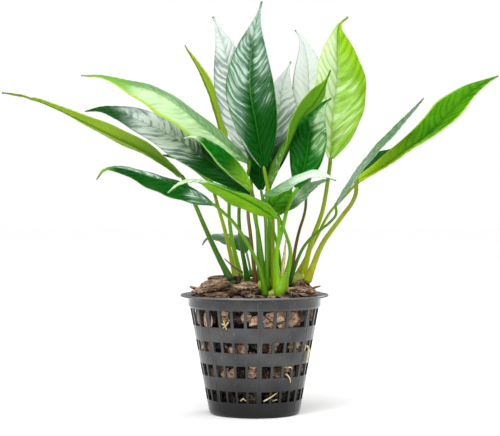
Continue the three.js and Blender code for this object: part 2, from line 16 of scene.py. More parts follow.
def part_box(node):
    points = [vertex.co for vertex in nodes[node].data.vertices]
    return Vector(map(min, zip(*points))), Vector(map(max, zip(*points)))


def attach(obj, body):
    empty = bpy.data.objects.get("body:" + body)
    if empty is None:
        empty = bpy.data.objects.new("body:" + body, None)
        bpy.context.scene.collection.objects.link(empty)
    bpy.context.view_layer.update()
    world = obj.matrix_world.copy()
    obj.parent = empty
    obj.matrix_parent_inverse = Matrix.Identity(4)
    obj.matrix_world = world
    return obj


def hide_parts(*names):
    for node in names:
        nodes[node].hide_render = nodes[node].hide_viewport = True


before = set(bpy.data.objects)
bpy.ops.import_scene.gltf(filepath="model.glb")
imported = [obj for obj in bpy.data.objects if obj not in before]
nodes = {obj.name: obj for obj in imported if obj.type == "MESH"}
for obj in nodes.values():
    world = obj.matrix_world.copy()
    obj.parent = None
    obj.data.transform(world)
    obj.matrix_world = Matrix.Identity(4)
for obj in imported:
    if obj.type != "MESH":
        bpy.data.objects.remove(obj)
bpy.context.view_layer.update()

MM = 0.001


# ---- modelling helpers --------------------------------------------------------------------

def deselect_all():
    if bpy.context.object and bpy.context.object.mode != "OBJECT":
        bpy.ops.object.mode_set(mode="OBJECT")
    bpy.ops.object.select_all(action="DESELECT")


def activate(obj):
    deselect_all()
    obj.select_set(True)
    bpy.context.view_layer.objects.active = obj
    return obj


@contextmanager
def editing(obj):
    """Edit mode, with the whole mesh selected at first."""
    activate(obj)
    bpy.ops.object.mode_set(mode="EDIT")
    bpy.ops.mesh.select_all(action="SELECT")
    yield
    bpy.ops.object.mode_set(mode="OBJECT")


def primitive(add_primitive, name, **settings):
    """A new primitive at the origin, with nothing else selected."""
    deselect_all()
    add_primitive(location=(0, 0, 0), **settings)
    bpy.context.object.name = name
    return bpy.context.object


def put_in_scene(obj):
    bpy.context.scene.collection.objects.link(obj)
    return obj


def apply_modifier(obj, kind, **settings):
    activate(obj)
    modifier = obj.modifiers.new(kind.title(), kind)
    for name, value in settings.items():
        setattr(modifier, name, value)
    bpy.ops.object.modifier_apply(modifier=modifier.name)


def smooth(obj, degrees=None):
    activate(obj)
    if degrees is None:
        bpy.ops.object.shade_smooth()
    else:
        bpy.ops.object.shade_smooth_by_angle(angle=math.radians(degrees))
    return obj


def join(objs, name):
    """One object from several, with its place, turn and size in its mesh."""
    deselect_all()
    for obj in objs:
        obj.select_set(True)
    bpy.context.view_layer.objects.active = objs[0]
    bpy.ops.object.join()
    joined = activate(bpy.context.object)
    joined.name = name
    joined.data.name = name
    bpy.ops.object.transform_apply(location=True, rotation=True, scale=True)
    return joined


def coordinates(obj):
    flat = np.zeros(len(obj.data.vertices) * 3)
    obj.data.vertices.foreach_get("co", flat)
    return flat.reshape(-1, 3)


def place_vertices(obj, points):
    obj.data.vertices.foreach_set("co", np.asarray(points, np.float32).ravel())
    obj.data.update()


def paint(obj, attribute_name, values):
    """Stores one number a vertex, or the same number on all of them."""
    layer = obj.data.attributes.new(attribute_name, "FLOAT", "POINT")
    count = len(obj.data.vertices)
    layer.data.foreach_set("value", np.broadcast_to(np.asarray(values, np.float32), count).copy())


def paint_height(obj):
    """Stores how far up the piece each vertex is, from 0 to 1, as along."""
    heights = coordinates(obj)[:, 2]
    low, high = heights.min(), heights.max()
    paint(obj, "along", (heights - low) / (high - low))


def finish_piece(obj, slot, material, *stands_for):
    obj.data.materials.clear()
    obj.data.materials.append(material)
    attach(obj, "root")
    if stands_for:
        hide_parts(*stands_for)


def unit(vectors):
    return vectors / np.maximum(np.linalg.norm(vectors, axis=-1, keepdims=True), 1e-12)


def ramp(distance, reach):
    """Rises from 0 to 1 over a distance."""
    return np.clip(distance / reach, 0, 1)


def through(points, at):
    """A smooth curve through evenly spaced points, read at places from 0 to 1."""
    points = np.array([tuple(p) for p in points], float)
    last = len(points) - 1
    place = np.clip(np.asarray(at, float), 0, 1) * last
    i = np.minimum(place.astype(int), last - 1)
    t = (place - i)[:, None]
    before = points[np.maximum(i - 1, 0)]
    a, b = points[i], points[i + 1]
    after = points[np.minimum(i + 2, last)]
    return 0.5 * (2 * a + (b - before) * t + (2 * before - 5 * a + 4 * b - after) * t ** 2
                  + (3 * a - before - 3 * b + after) * t ** 3)


def radii_through(radii, at):
    return through([[r] for r in radii], at)[:, 0]


def on_circle(radius, turn, z=0.0):
    return (radius * math.cos(turn), radius * math.sin(turn), z)


def turned(angle, axis):
    return Matrix.Rotation(angle, 4, axis)


def random_vector(rng, *ranges):
    return Vector([rng.uniform(low, high) for low, high in ranges])


def rod(name, points, radii, sides):
    """A round stalk along points, made from a curve with a round bevel."""
    curve = primitive(bpy.ops.curve.primitive_bezier_curve_add, name).data
    curve.splines.clear()
    spline = curve.splines.new("POLY")
    spline.points.add(len(points) - 1)
    for knot, point, radius in zip(spline.points, points, radii):
        knot.co = (*point, 1)
        knot.radius = radius
    curve.bevel_depth = 1
    curve.bevel_resolution = max(0, sides // 2 - 2)
    curve.use_fill_caps = True
    curve.twist_mode = "MINIMUM"
    bpy.ops.object.convert(target="MESH")
    obj = bpy.context.object
    with editing(obj):
        bpy.ops.mesh.remove_doubles(threshold=1e-7)
        bpy.ops.mesh.normals_make_consistent(inside=False)
    return smooth(obj)


# ---- reading the CAD solids ---------------------------------------------------------------

def merged_copy(node):
    mesh = bmesh.new()
    mesh.from_mesh(nodes[node].data)
    bmesh.ops.remove_doubles(mesh, verts=mesh.verts, dist=1e-6)
    mesh.verts.index_update()
    return mesh


def centre_of(points):
    return sum(points, Vector()) / len(points)


def rings_from(pole, fewest):
    """The rings of at least so many vertices that lie one edge apart, walking away from a pole."""
    seen = {pole}
    ring = [pole]
    while ring:
        around = {e.other_vert(v) for v in ring for e in v.link_edges} - seen
        ring = sorted(around, key=lambda v: v.index)
        seen.update(ring)
        if len(ring) >= fewest:
            yield ring


def sections_from(pole, fewest):
    """The middle and the mean radius of each ring, walking away from a pole."""
    centres, radii = [], []
    for ring in rings_from(pole, fewest):
        middle = centre_of([v.co for v in ring])
        centres.append(middle)
        radii.append(sum((v.co - middle).length for v in ring) / len(ring))
    return centres, radii


# ---- shader helpers -----------------------------------------------------------------------

def shade(code):
    """A colour from its usual six-digit web code, as linear red, green and blue."""
    parts = [int(code[k:k + 2], 16) / 255 for k in (0, 2, 4)]
    return tuple(p / 12.92 if p <= 0.04045 else ((p + 0.055) / 1.055) ** 2.4 for p in parts)


def new_material(name):
    material = bpy.data.materials.new(name)
    material.use_nodes = True
    tree = material.node_tree
    return material, tree, tree.nodes["Principled BSDF"]


def set_inputs(tree, node, values):
    """Links each input to another node's socket, or sets it to a plain number or colour."""
    for key, value in values.items():
        socket = node.inputs[key]
        if isinstance(value, bpy.types.NodeSocket):
            tree.links.new(value, socket)
        elif socket.type == "RGBA":
            socket.default_value = (*value, 1)
        else:
            socket.default_value = value


def add(tree, kind, inputs=None, **settings):
    node = tree.nodes.new(kind)
    for key, value in settings.items():
        setattr(node, key, value)
    set_inputs(tree, node, inputs or {})
    return node


def calculate(tree, operation, a, b=0.0, c=0.0):
    return add(tree, "ShaderNodeMath", {0: a, 1: b, 2: c}, operation=operation).outputs[0]


def remap(tree, value, low, high, to_low=0.0, to_high=1.0):
    """Carries the range from low to high smoothly over to another one, and stays inside that."""
    inputs = {"Value": value, "From Min": low, "From Max": high,
              "To Min": to_low, "To Max": to_high}
    return add(tree, "ShaderNodeMapRange", inputs, interpolation_type="SMOOTHSTEP").outputs["Result"]


def mix(tree, factor, a, b):
    return add(tree, "ShaderNodeMix", {0: factor, 6: a, 7: b}, data_type="RGBA").outputs[2]


def attribute(tree, name):
    return add(tree, "ShaderNodeAttribute", attribute_name=name).outputs["Fac"]


def noise_at(tree, place, scale, detail=3.0, roughness=0.55, distortion=0.0):
    inputs = {"Vector": place, "Scale": scale, "Detail": detail,
              "Roughness": roughness, "Distortion": distortion}
    return add(tree, "ShaderNodeTexNoise", inputs).outputs["Fac"]


def stretched(tree, place, scale, rotation=(0, 0, 0)):
    inputs = {"Vector": place, "Scale": scale, "Rotation": rotation}
    return add(tree, "ShaderNodeMapping", inputs).outputs["Vector"]


def object_coordinates(tree, scale=(1, 1, 1), rotation=(0, 0, 0)):
    place = add(tree, "ShaderNodeTexCoord").outputs["Object"]
    return stretched(tree, place, scale, rotation)


def bump(tree, height, strength, distance):
    inputs = {"Height": height, "Strength": strength, "Distance": distance}
    return add(tree, "ShaderNodeBump", inputs).outputs["Normal"]


def new_group(name, inputs, outputs):
    """A node group: inputs are (name, kind, default), outputs are (name, kind)."""
    group = bpy.data.node_groups.new(name, "ShaderNodeTree")
    for label, kind, default in inputs:
        socket = group.interface.new_socket(name=label, in_out="INPUT",
                                            socket_type="NodeSocket" + kind)
        socket.default_value = (*default, 1) if kind == "Color" else default
    for label, kind in outputs:
        group.interface.new_socket(name=label, in_out="OUTPUT", socket_type="NodeSocket" + kind)
    given = group.nodes.new("NodeGroupInput").outputs
    return group, given, group.nodes.new("NodeGroupOutput")


# ---- leaf materials -----------------------------------------------------------------------

LEAF_GLOSS = 0.09
STALK_GLOSS = 0.2
DRY_END = shade("5a4020")         # the last point of a leaf's tip is dry and brown
USUAL_RIB = "3c7c18"
# striping, streaking and glint set the painted sheen; edge is the margin's share of the half width
USUAL_SHEEN_AND_EDGE = {"Striping": 0.6, "Streaking": 1.0, "Glint": 1.0, "Edge": 0.04}
FOOT_SHARE = 0.9


def leaf_group():
    """Colour, roughness and height of a leaf, from its own attributes.

    along runs from 0 at the stalk to 1 at the tip, side from -1 to 1 across the blade, and ribs
    counts the side ribs, so that a pattern on it follows them. crest is high between two ribs,
    sheen is high where a silvery glare is painted on, and under is 1 on the underside. The colour
    holds painted light: a painted highlight of haze and glint where sheen is high, paler stripes
    painted on the flank of each pleat that faces the light, and painted shade in the rib grooves.
    """
    group, given, end = new_group("leaf_tissue", [
        ("Deep", "Color", (0.01, 0.09, 0.02)), ("Mid", "Color", (0.03, 0.2, 0.03)),
        ("Haze", "Color", (0.3, 0.4, 0.3)), ("Pale", "Color", (0.6, 0.75, 0.6)),
        ("Underside", "Color", (0.3, 0.5, 0.06)), ("Margin", "Color", (0.35, 0.5, 0.15)),
        ("Foot", "Color", (0.05, 0.2, 0.03)), ("Foot share", "Float", 0.0),
        ("Tip", "Color", (0.3, 0.5, 0.1)), ("Tip start", "Float", 1.2),
        ("Rib", "Color", (0.1, 0.3, 0.05)), ("Edge", "Float", 0.04), ("Seed", "Float", 0.0),
        ("Striping", "Float", 0.8), ("Streaking", "Float", 1.0), ("Glint", "Float", 1.0),
    ], [("Color", "Color"), ("Roughness", "Float"), ("Height", "Float")])

    def times(a, b):
        return calculate(group, "MULTIPLY", a, b)

    def plus(total, value, weight):
        return calculate(group, "MULTIPLY_ADD", value, weight, total)

    def off_centre(value):
        return calculate(group, "SUBTRACT", value, 0.5)

    sheen, crest, under, along, side, ribs = [
        attribute(group, name) for name in ("sheen", "crest", "under", "along", "side", "ribs")]
    across = calculate(group, "ABSOLUTE", side)
    half = plus(given["Seed"], calculate(group, "SIGN", side), 7.0)
    rib_inputs = {"X": ribs, "Y": across, "Z": half}
    rib_place = add(group, "ShaderNodeCombineXYZ", rib_inputs).outputs[0]
    broad_place = stretched(group, rib_place, (0.9, 1.4, 1))
    thin_place = stretched(group, rib_place, (3.2, 2.2, 1))
    calm_tip = remap(group, along, 0.55, 0.88, 1.0, 0.2)
    streak = times(off_centre(noise_at(group, broad_place, 1.0, 2, 0.5)), calm_tip)
    thin = times(off_centre(noise_at(group, thin_place, 1.0, 3, 0.6)), calm_tip)
    fine = noise_at(group, object_coordinates(group), 1100, 3)
    broad = noise_at(group, object_coordinates(group), 90, 3)

    # painted shade: the rib grooves are painted darker than the puckers between them, on top of
    # random tone
    tone = plus(plus(plus(broad, off_centre(crest), 0.4), thin, 0.8), off_centre(fine), 0.25)
    upper = mix(group, remap(group, tone, 0.2, 0.85), given["Deep"], given["Mid"])
    # painted highlight: a grey haze of glare laid over the green where sheen is high
    hazy = remap(group, plus(sheen, thin, 0.9), 0.08, 0.95, 0.0, 0.85)
    upper = mix(group, hazy, upper, given["Haze"])

    # painted highlight: paler stripes on the flank of each pleat that faces the light, broken up
    # into streaks, in the Pale glint colour
    wander = plus(ribs, off_centre(noise_at(group, broad_place, 0.7, 2)), 1.3)
    lean = calculate(group, "SINE", calculate(group, "MULTIPLY_ADD", wander, 2 * math.pi, 0.6))
    stripe = times(calculate(group, "MULTIPLY_ADD", lean, 0.5, 0.05), calm_tip)
    weight = calculate(group, "MULTIPLY_ADD", stripe, given["Striping"], 0.72)
    ragged = times(plus(times(thin, 2.3), streak, 1.6), given["Streaking"])
    rise = plus(times(sheen, weight), ragged, 1.0)
    lit = times(remap(group, rise, 0.3, 1.15), remap(group, sheen, 0.05, 0.4))
    upper = mix(group, times(lit, given["Glint"]), upper, given["Pale"])
    upper = mix(group, remap(group, across, 0.015, 0.045, 0.35, 0.0), upper, given["Rib"])

    shaded = mix(group, 0.4, given["Underside"], given["Mid"])
    mottle = remap(group, plus(broad, thin, 0.5), 0.3, 0.8)
    below = mix(group, mottle, given["Underside"], shaded)
    below = mix(group, remap(group, across, 0.03, 0.12, 0.85, 0.0), below, given["Rib"])

    colour = mix(group, under, upper, below)
    foot = times(remap(group, along, 0.05, 0.45, 1.0, 0.0), given["Foot share"])
    colour = mix(group, foot, colour, given["Foot"])
    past = calculate(group, "SUBTRACT", plus(along, thin, 0.15), given["Tip start"])
    colour = mix(group, remap(group, past, 0.0, 0.12, 0.0, 0.9), colour, given["Tip"])
    inside = calculate(group, "SUBTRACT", 1.0, given["Edge"])
    nearly_out = calculate(group, "MULTIPLY_ADD", given["Edge"], -0.45, 1.0)
    rim = remap(group, across, inside, nearly_out, 0.0, 0.85)
    colour = mix(group, rim, colour, given["Margin"])
    colour = mix(group, remap(group, along, 0.985, 0.998, 0.0, 0.8), colour, DRY_END)

    height = times(plus(times(fine, 0.3), thin, 1.6), calculate(group, "SUBTRACT", 1.0, under))
    set_inputs(group, end, {
        "Color": colour, "Height": height,
        "Roughness": plus(remap(group, thin, -0.2, 0.2, 0.26, 0.4), under, 0.14)})
    return group


LEAF_TISSUE = leaf_group()


def leaf_material(name, spec, seed):
    """A leaf's own tints, painted sheen and margin width in the shared tissue."""
    material, tree, shader = new_material(name)
    labels = ("Deep", "Mid", "Haze", "Pale", "Underside", "Margin")
    values = {label: shade(code) for label, code in zip(labels, TINTS[spec["tint"]])}
    if "foot" in spec:
        values["Foot"] = shade(spec["foot"])
        values["Foot share"] = FOOT_SHARE
    if "margin" in spec:
        values["Margin"] = shade(spec["margin"])
    if "tip" in spec:
        values["Tip"] = shade(spec["tip"][0])
        values["Tip start"] = spec["tip"][1]
    values["Rib"] = shade(spec.get("rib", USUAL_RIB))
    values["Seed"] = float(seed)
    for label, usual in USUAL_SHEEN_AND_EDGE.items():
        values[label] = spec.get(label.lower(), usual)
    tissue = add(tree, "ShaderNodeGroup", values, node_tree=LEAF_TISSUE).outputs
    set_inputs(tree, shader, {
        "Base Color": tissue["Color"], "Roughness": tissue["Roughness"],
        "Normal": bump(tree, tissue["Height"], 0.3, 0.06 * MM), "Specular IOR Level": LEAF_GLOSS})
    return material


def stalk_material(name, foot, middle, top, blush=(0.3, 0.12, 0.04), blush_share=0.0):
    """A leaf stalk whose colour runs from its foot to the blade, with fine lengthwise streaks."""
    material, tree, shader = new_material(name)
    along = attribute(tree, "along")
    streaks = noise_at(tree, object_coordinates(tree, (1, 1, 0.08)), 2600, 3)
    patches = noise_at(tree, object_coordinates(tree), 160, 3)
    colour = mix(tree, remap(tree, along, 0.0, 0.4), foot, middle)
    colour = mix(tree, remap(tree, along, 0.45, 0.95), colour, top)
    colour = mix(tree, remap(tree, patches, 0.4, 0.7, 0.0, blush_share), colour, blush)
    darker = mix(tree, 0.5, colour, (0.02, 0.06, 0.01))
    colour = mix(tree, remap(tree, streaks, 0.35, 0.7, 0.0, 0.3), colour, darker)
    set_inputs(tree, shader, {
        "Base Color": colour, "Roughness": remap(tree, streaks, 0.3, 0.7, 0.28, 0.42),
        "Normal": bump(tree, streaks, 0.2, 0.1 * MM), "Specular IOR Level": STALK_GLOSS})
    return material


# ---- leaves -------------------------------------------------------------------------------

ALONG_STEPS = 120
ACROSS_STEPS = 36
LEAF_THICKNESS = 0.42 * MM
RIB_PITCH = 3.7 * MM       # distance between the side ribs, where they leave the midrib
RIB_SLANT = (0.5, 0.85)    # a rib's run towards the tip for its run outwards: at first, and gained
RIB_HEIGHT = 0.24 * MM
GROOVE = (0.13 * MM, 0.45 * MM)    # depth and reach of the groove along the midrib
KEEL = (0.6 * MM, 0.5 * MM)        # depth and reach of the midrib under the blade
SWELL = 0.06               # how far each half bulges, for its width
RIPPLES = 4.5              # waves along a margin
RIPPLE_HEIGHT = 0.035      # for the width of that half
MARGIN_THINNESS = 0.35     # thickness at the margin, for the full one
FOLD_GAP = 0.7 * MM        # the halves of a folded blade stay this far apart at their margins
STALK_STATIONS = (0, 0.25, 1)
STALK_SLIMNESS = (1.0, 0.86, 0.8)
STALK_ROOTED = 2.2 * MM    # how far a stalk goes on into the rhizome
UNDER_BLADE = ((2, 0.8), (6, 0.55), (10, 0.35))    # a stalk's end: the blade's row, the thickness
RING_POINTS = 9            # the fewest vertices in one of a blade's sections


def halves_of(ring):
    """A blade section's two margins, and the vertices of its upper and lower arc between them."""
    pairs = [(a, b) for k, a in enumerate(ring) for b in ring[k + 1:]]
    first, last = max(pairs, key=lambda pair: (pair[0].co - pair[1].co).length)
    in_ring = set(ring)
    arcs = []
    for start in [e.other_vert(first) for e in first.link_edges]:
        if start not in in_ring:
            continue
        arc = [start]
        before = first
        while arc[-1] is not last and len(arc) < RING_POINTS:
            ahead = [e.other_vert(arc[-1]) for e in arc[-1].link_edges]
            ahead = [v for v in ahead if v in in_ring and v is not before]
            before = arc[-1]
            arc.append(ahead[0])
        arcs.append(arc[:-1])
    arcs.sort(key=len)
    return first, last, arcs[0], arcs[-1]


def blade_rings(name):
    """A blade's sections from its foot to its tip: centre, both margins and the way it faces."""
    mesh = merged_copy("blade_" + name)
    stalk_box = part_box("petiole_" + name)
    stalk_centre = (stalk_box[0] + stalk_box[1]) / 2
    poles = [v for v in mesh.verts if len(v.link_edges) >= RING_POINTS]
    tip = max(poles, key=lambda v: (v.co - stalk_centre).length)
    stations = []
    for ring in rings_from(tip, RING_POINTS):
        first, last, top, keel = halves_of(ring)
        edges = (first.co.copy(), last.co.copy())
        stations.append((edges, top[1].co.copy(), centre_of([keel[1].co, keel[2].co])))
    stations.reverse()
    tip_at = tip.co.copy()
    mesh.free()
    middles = [middle for _, middle, _ in stations] + [tip_at]
    centres, left, right, ups = [], [], [], []
    for i, ((first, second), middle, keel) in enumerate(stations):
        along = (middles[i + 1] - middles[max(i - 1, 0)]).normalized()
        up = (middle - keel).normalized()
        if (first - second).dot(along.cross(up)) > 0:
            first, second = second, first
        centre = middle - up * 0.25 * MM
        centres.append(centre)
        left.append(first - centre)
        right.append(second - centre)
        ups.append(up)
    return [*centres, tip_at], [*left, Vector()], [*right, Vector()], [*ups, ups[-1]]


def blade_frame(name):
    """Row by row along a blade: its middle, its reach to both margins and the way it faces."""
    centres, left, right, ups = blade_rings(name)
    u = np.linspace(0, 1, ALONG_STEPS + 1)
    centre = through(centres, u)
    to_left = through(left, u)
    to_right = through(right, u)
    up = unit(through(ups, u))
    sideways = unit(np.cross(np.gradient(centre, axis=0), up))
    spread = np.linalg.norm(to_right - to_left, axis=1)
    both_reaches = np.linalg.norm(to_right, axis=1) + np.linalg.norm(to_left, axis=1)
    closed = 1 - spread / np.maximum(both_reaches, 0.1 * MM)
    apart = sideways * (FOLD_GAP * closed * ramp(1 - u, 0.1))[:, None]
    return centre, to_left - apart, to_right + apart, up


def thicken_blade(blade, up, keel, outward):
    """Gives the sheet its thickness, thinner at the margin, with the midrib's keel underneath."""
    surface = len(blade.data.vertices)
    apply_modifier(blade, "SOLIDIFY", thickness=LEAF_THICKNESS, offset=-1)
    points = coordinates(blade)
    top = points[:surface]
    bottom = points[surface:2 * surface]
    wrong_side = np.mean(np.einsum("ij,ij->i", bottom - top, up)) > 0
    if wrong_side:
        bottom = top - (bottom - top)
    bottom = bottom - up * keel[:, None]
    thinner = np.clip((1 - outward) / 0.06, MARGIN_THINNESS, 1)[:, None]
    place_vertices(blade, np.concatenate([top, top + (bottom - top) * thinner]))
    blade.data.polygons.foreach_set("use_smooth", [True] * len(blade.data.polygons))
    with editing(blade):
        bpy.ops.mesh.normals_make_consistent(inside=False)


def soft_spots(along, side, spots):
    """Soft-edged spots on a blade, each (along, side, reach along, reach across, strength)."""
    total = np.zeros(np.broadcast(along, side).shape)
    for at, where, reach, breadth, strength in spots:
        far = ((along - at) / reach) ** 2 + ((side - where) / breadth) ** 2
        total = np.maximum(total, strength * np.clip(1.6 * np.exp(-far) - 0.1, 0, 1))
    return total


def build_blade(name, spec, seed):
    """A blade on a grid: a grooved midrib, slanting ribs, a wavy margin and a keel underneath."""
    centre, to_left, to_right, up = blade_frame(name)
    row_gaps = np.linalg.norm(np.diff(centre, axis=0), axis=1)
    length = np.concatenate([[0], np.cumsum(row_gaps)])
    blade = primitive(bpy.ops.mesh.primitive_grid_add, "leaf_" + name, size=2,
                      x_subdivisions=ALONG_STEPS, y_subdivisions=ACROSS_STEPS)
    plain = coordinates(blade)
    row = np.rint((plain[:, 0] + 1) / 2 * ALONG_STEPS).astype(int)
    at = row / ALONG_STEPS
    side = plain[:, 1]
    outward = np.abs(side)
    on_left = side < 0
    reach = np.where(on_left[:, None], to_left[row], to_right[row])
    width = np.linalg.norm(reach, axis=1)
    off_midrib = outward * width
    open_part = ramp(at, 0.06) * ramp(1 - at, 0.1)

    run = length[row] - off_midrib * (RIB_SLANT[0] + RIB_SLANT[1] * outward)
    run += 0.7 * MM * np.sin(9 * at + 2.5 * side + seed)
    run += 0.5 * MM * np.sin(23 * at - 4 * side + 2 * seed)
    ribs = run / spec.get("pitch", RIB_PITCH) + 0.4 * on_left
    crest = np.abs(np.sin(math.pi * ribs)) ** 0.7
    ribbed = ramp(outward, 0.12) * ramp(1 - outward, 0.1) ** 0.5 * open_part

    rng = random.Random(seed)
    start_left, start_right = rng.uniform(0, 6), rng.uniform(0, 6)
    ripple = np.sin(2 * math.pi * RIPPLES * at + np.where(on_left, start_left, start_right))
    lift = spec.get("relief", 1.0) * RIB_HEIGHT * crest * ribbed
    lift -= GROOVE[0] * np.exp(-(off_midrib / GROOVE[1]) ** 2) * open_part
    lift += SWELL * width * 4 * outward * (1 - outward)
    lift += RIPPLE_HEIGHT * width * ripple * outward ** 3 * open_part
    place_vertices(blade, centre[row] + reach * outward[:, None] + up[row] * lift[:, None])

    keel = KEEL[0] * (1 - 0.75 * at) * np.exp(-(off_midrib / KEEL[1]) ** 2) * ramp(1 - at, 0.05)
    thicken_blade(blade, up[row], keel, outward)
    # the spots of painted silvery glare, which the leaf tissue turns into painted highlights
    sheen = soft_spots(at, side, spec.get("sheen", []))
    for label, values in (("along", at), ("side", side), ("ribs", ribs), ("sheen", sheen),
                          ("crest", 0.5 + (crest - 0.5) * ribbed)):
        paint(blade, label, np.concatenate([values, values]))
    paint(blade, "under", np.concatenate([np.zeros(len(row)), np.ones(len(row))]))
    return blade, centre, up


def stalk_sections(name):
    """The middle and radius of each section of a stalk, from its foot up."""
    mesh = merged_copy("petiole_" + name)
    poles = [v for v in mesh.verts if len(v.link_edges) >= 8]
    sections = sections_from(min(poles, key=lambda v: v.co.z), 6)
    mesh.free()
    return sections


def build_stalk(name, spec, blade_centre, blade_up):
    """A stalk from inside the rhizome up to its end, which runs on under the blade."""
    centres, radii = stalk_sections(name)
    down = (centres[0] - centres[1]).normalized()
    foot = radii[0] * spec.get("flare", 1.25)
    points = [centres[0] + down * STALK_ROOTED, *centres]
    sizes = [foot, foot * 0.97, *radii[1:]]
    for row, share in UNDER_BLADE:
        below = radii[-1] * 0.55 + 0.1 * MM
        points.append(Vector(blade_centre[row]) - Vector(blade_up[row]) * below)
        sizes.append(radii[-1] * share)
    places = np.linspace(0, 1, 46)
    slimness = np.interp(places, STALK_STATIONS, STALK_SLIMNESS)
    thickness = radii_through(sizes, places) * slimness
    stalk = rod("stalk_" + name, through(points, places), thickness, 12)
    paint_height(stalk)
    return stalk


# Colours of the blades: deep and middle tone of the upper side, the haze and the glint of the
# silvery glare painted on it, the underside and the margin. On the silver and white sets the upper
# tones are greyed by painted glare as well.
TINTS = {
    "dark": ("013c02", "045006", "5c8068", "b4ccba", "5c9c14", "5f9a3c"),
    "steel": ("013a02", "034c06", "70867a", "d2dcd6", "5c9c14", "5f9a3c"),
    "forest": ("024a04", "086a06", "6ca05c", "c4dcb4", "84bc1e", "6aa83c"),
    "silver": ("0c3c16", "34503e", "92a096", "ccd6d0", "8fae70", "74867a"),
    "white": ("80908a", "9ca8a0", "bac4be", "d6dcd8", "8fae70", "84968a"),
    "lime": ("5f9a04", "86b80c", "b4d088", "dcebc0", "8bb41c", "9cc026"),
    "olive": ("5a760e", "7d9c1a", "a8be68", "d0e0a8", "84a61e", "9cb840"),
    "leafy": ("649804", "88bc0e", "b0d480", "d4e8ba", "9cc420", "a4c83c"),
    "mint": ("54844a", "74a068", "9cc482", "c4e2ae", "9acc18", "a8d22c"),
    "fresh": ("2c7002", "4e9204", "90bc48", "b8d488", "6cac08", "98bc28"),
    "moss": ("246a02", "458e06", "8cb45c", "cfe0b0", "5c9610", "94b438"),
    "sage": ("3c7838", "64985c", "a0c09c", "dcecd8", "7da066", "9cc08c"),
    "ash": ("4c7048", "688c64", "8ca48c", "b4c4b0", "88a088", "98aa9c"),
}

STALK_TINTS = {
    "bright": ("90c40a", "74b00c", "66a40c"),
    "yellow": ("acb60e", "94a80c", "7a980c"),
    "green": ("568c08", "609608", "6ca00c"),
    "dark": ("34640a", "48780c", "588a0e"),
    "olive": ("66701a", "6c7c14", "769416"),
    "brown": ("6a4418", "745816", "688014"),
}
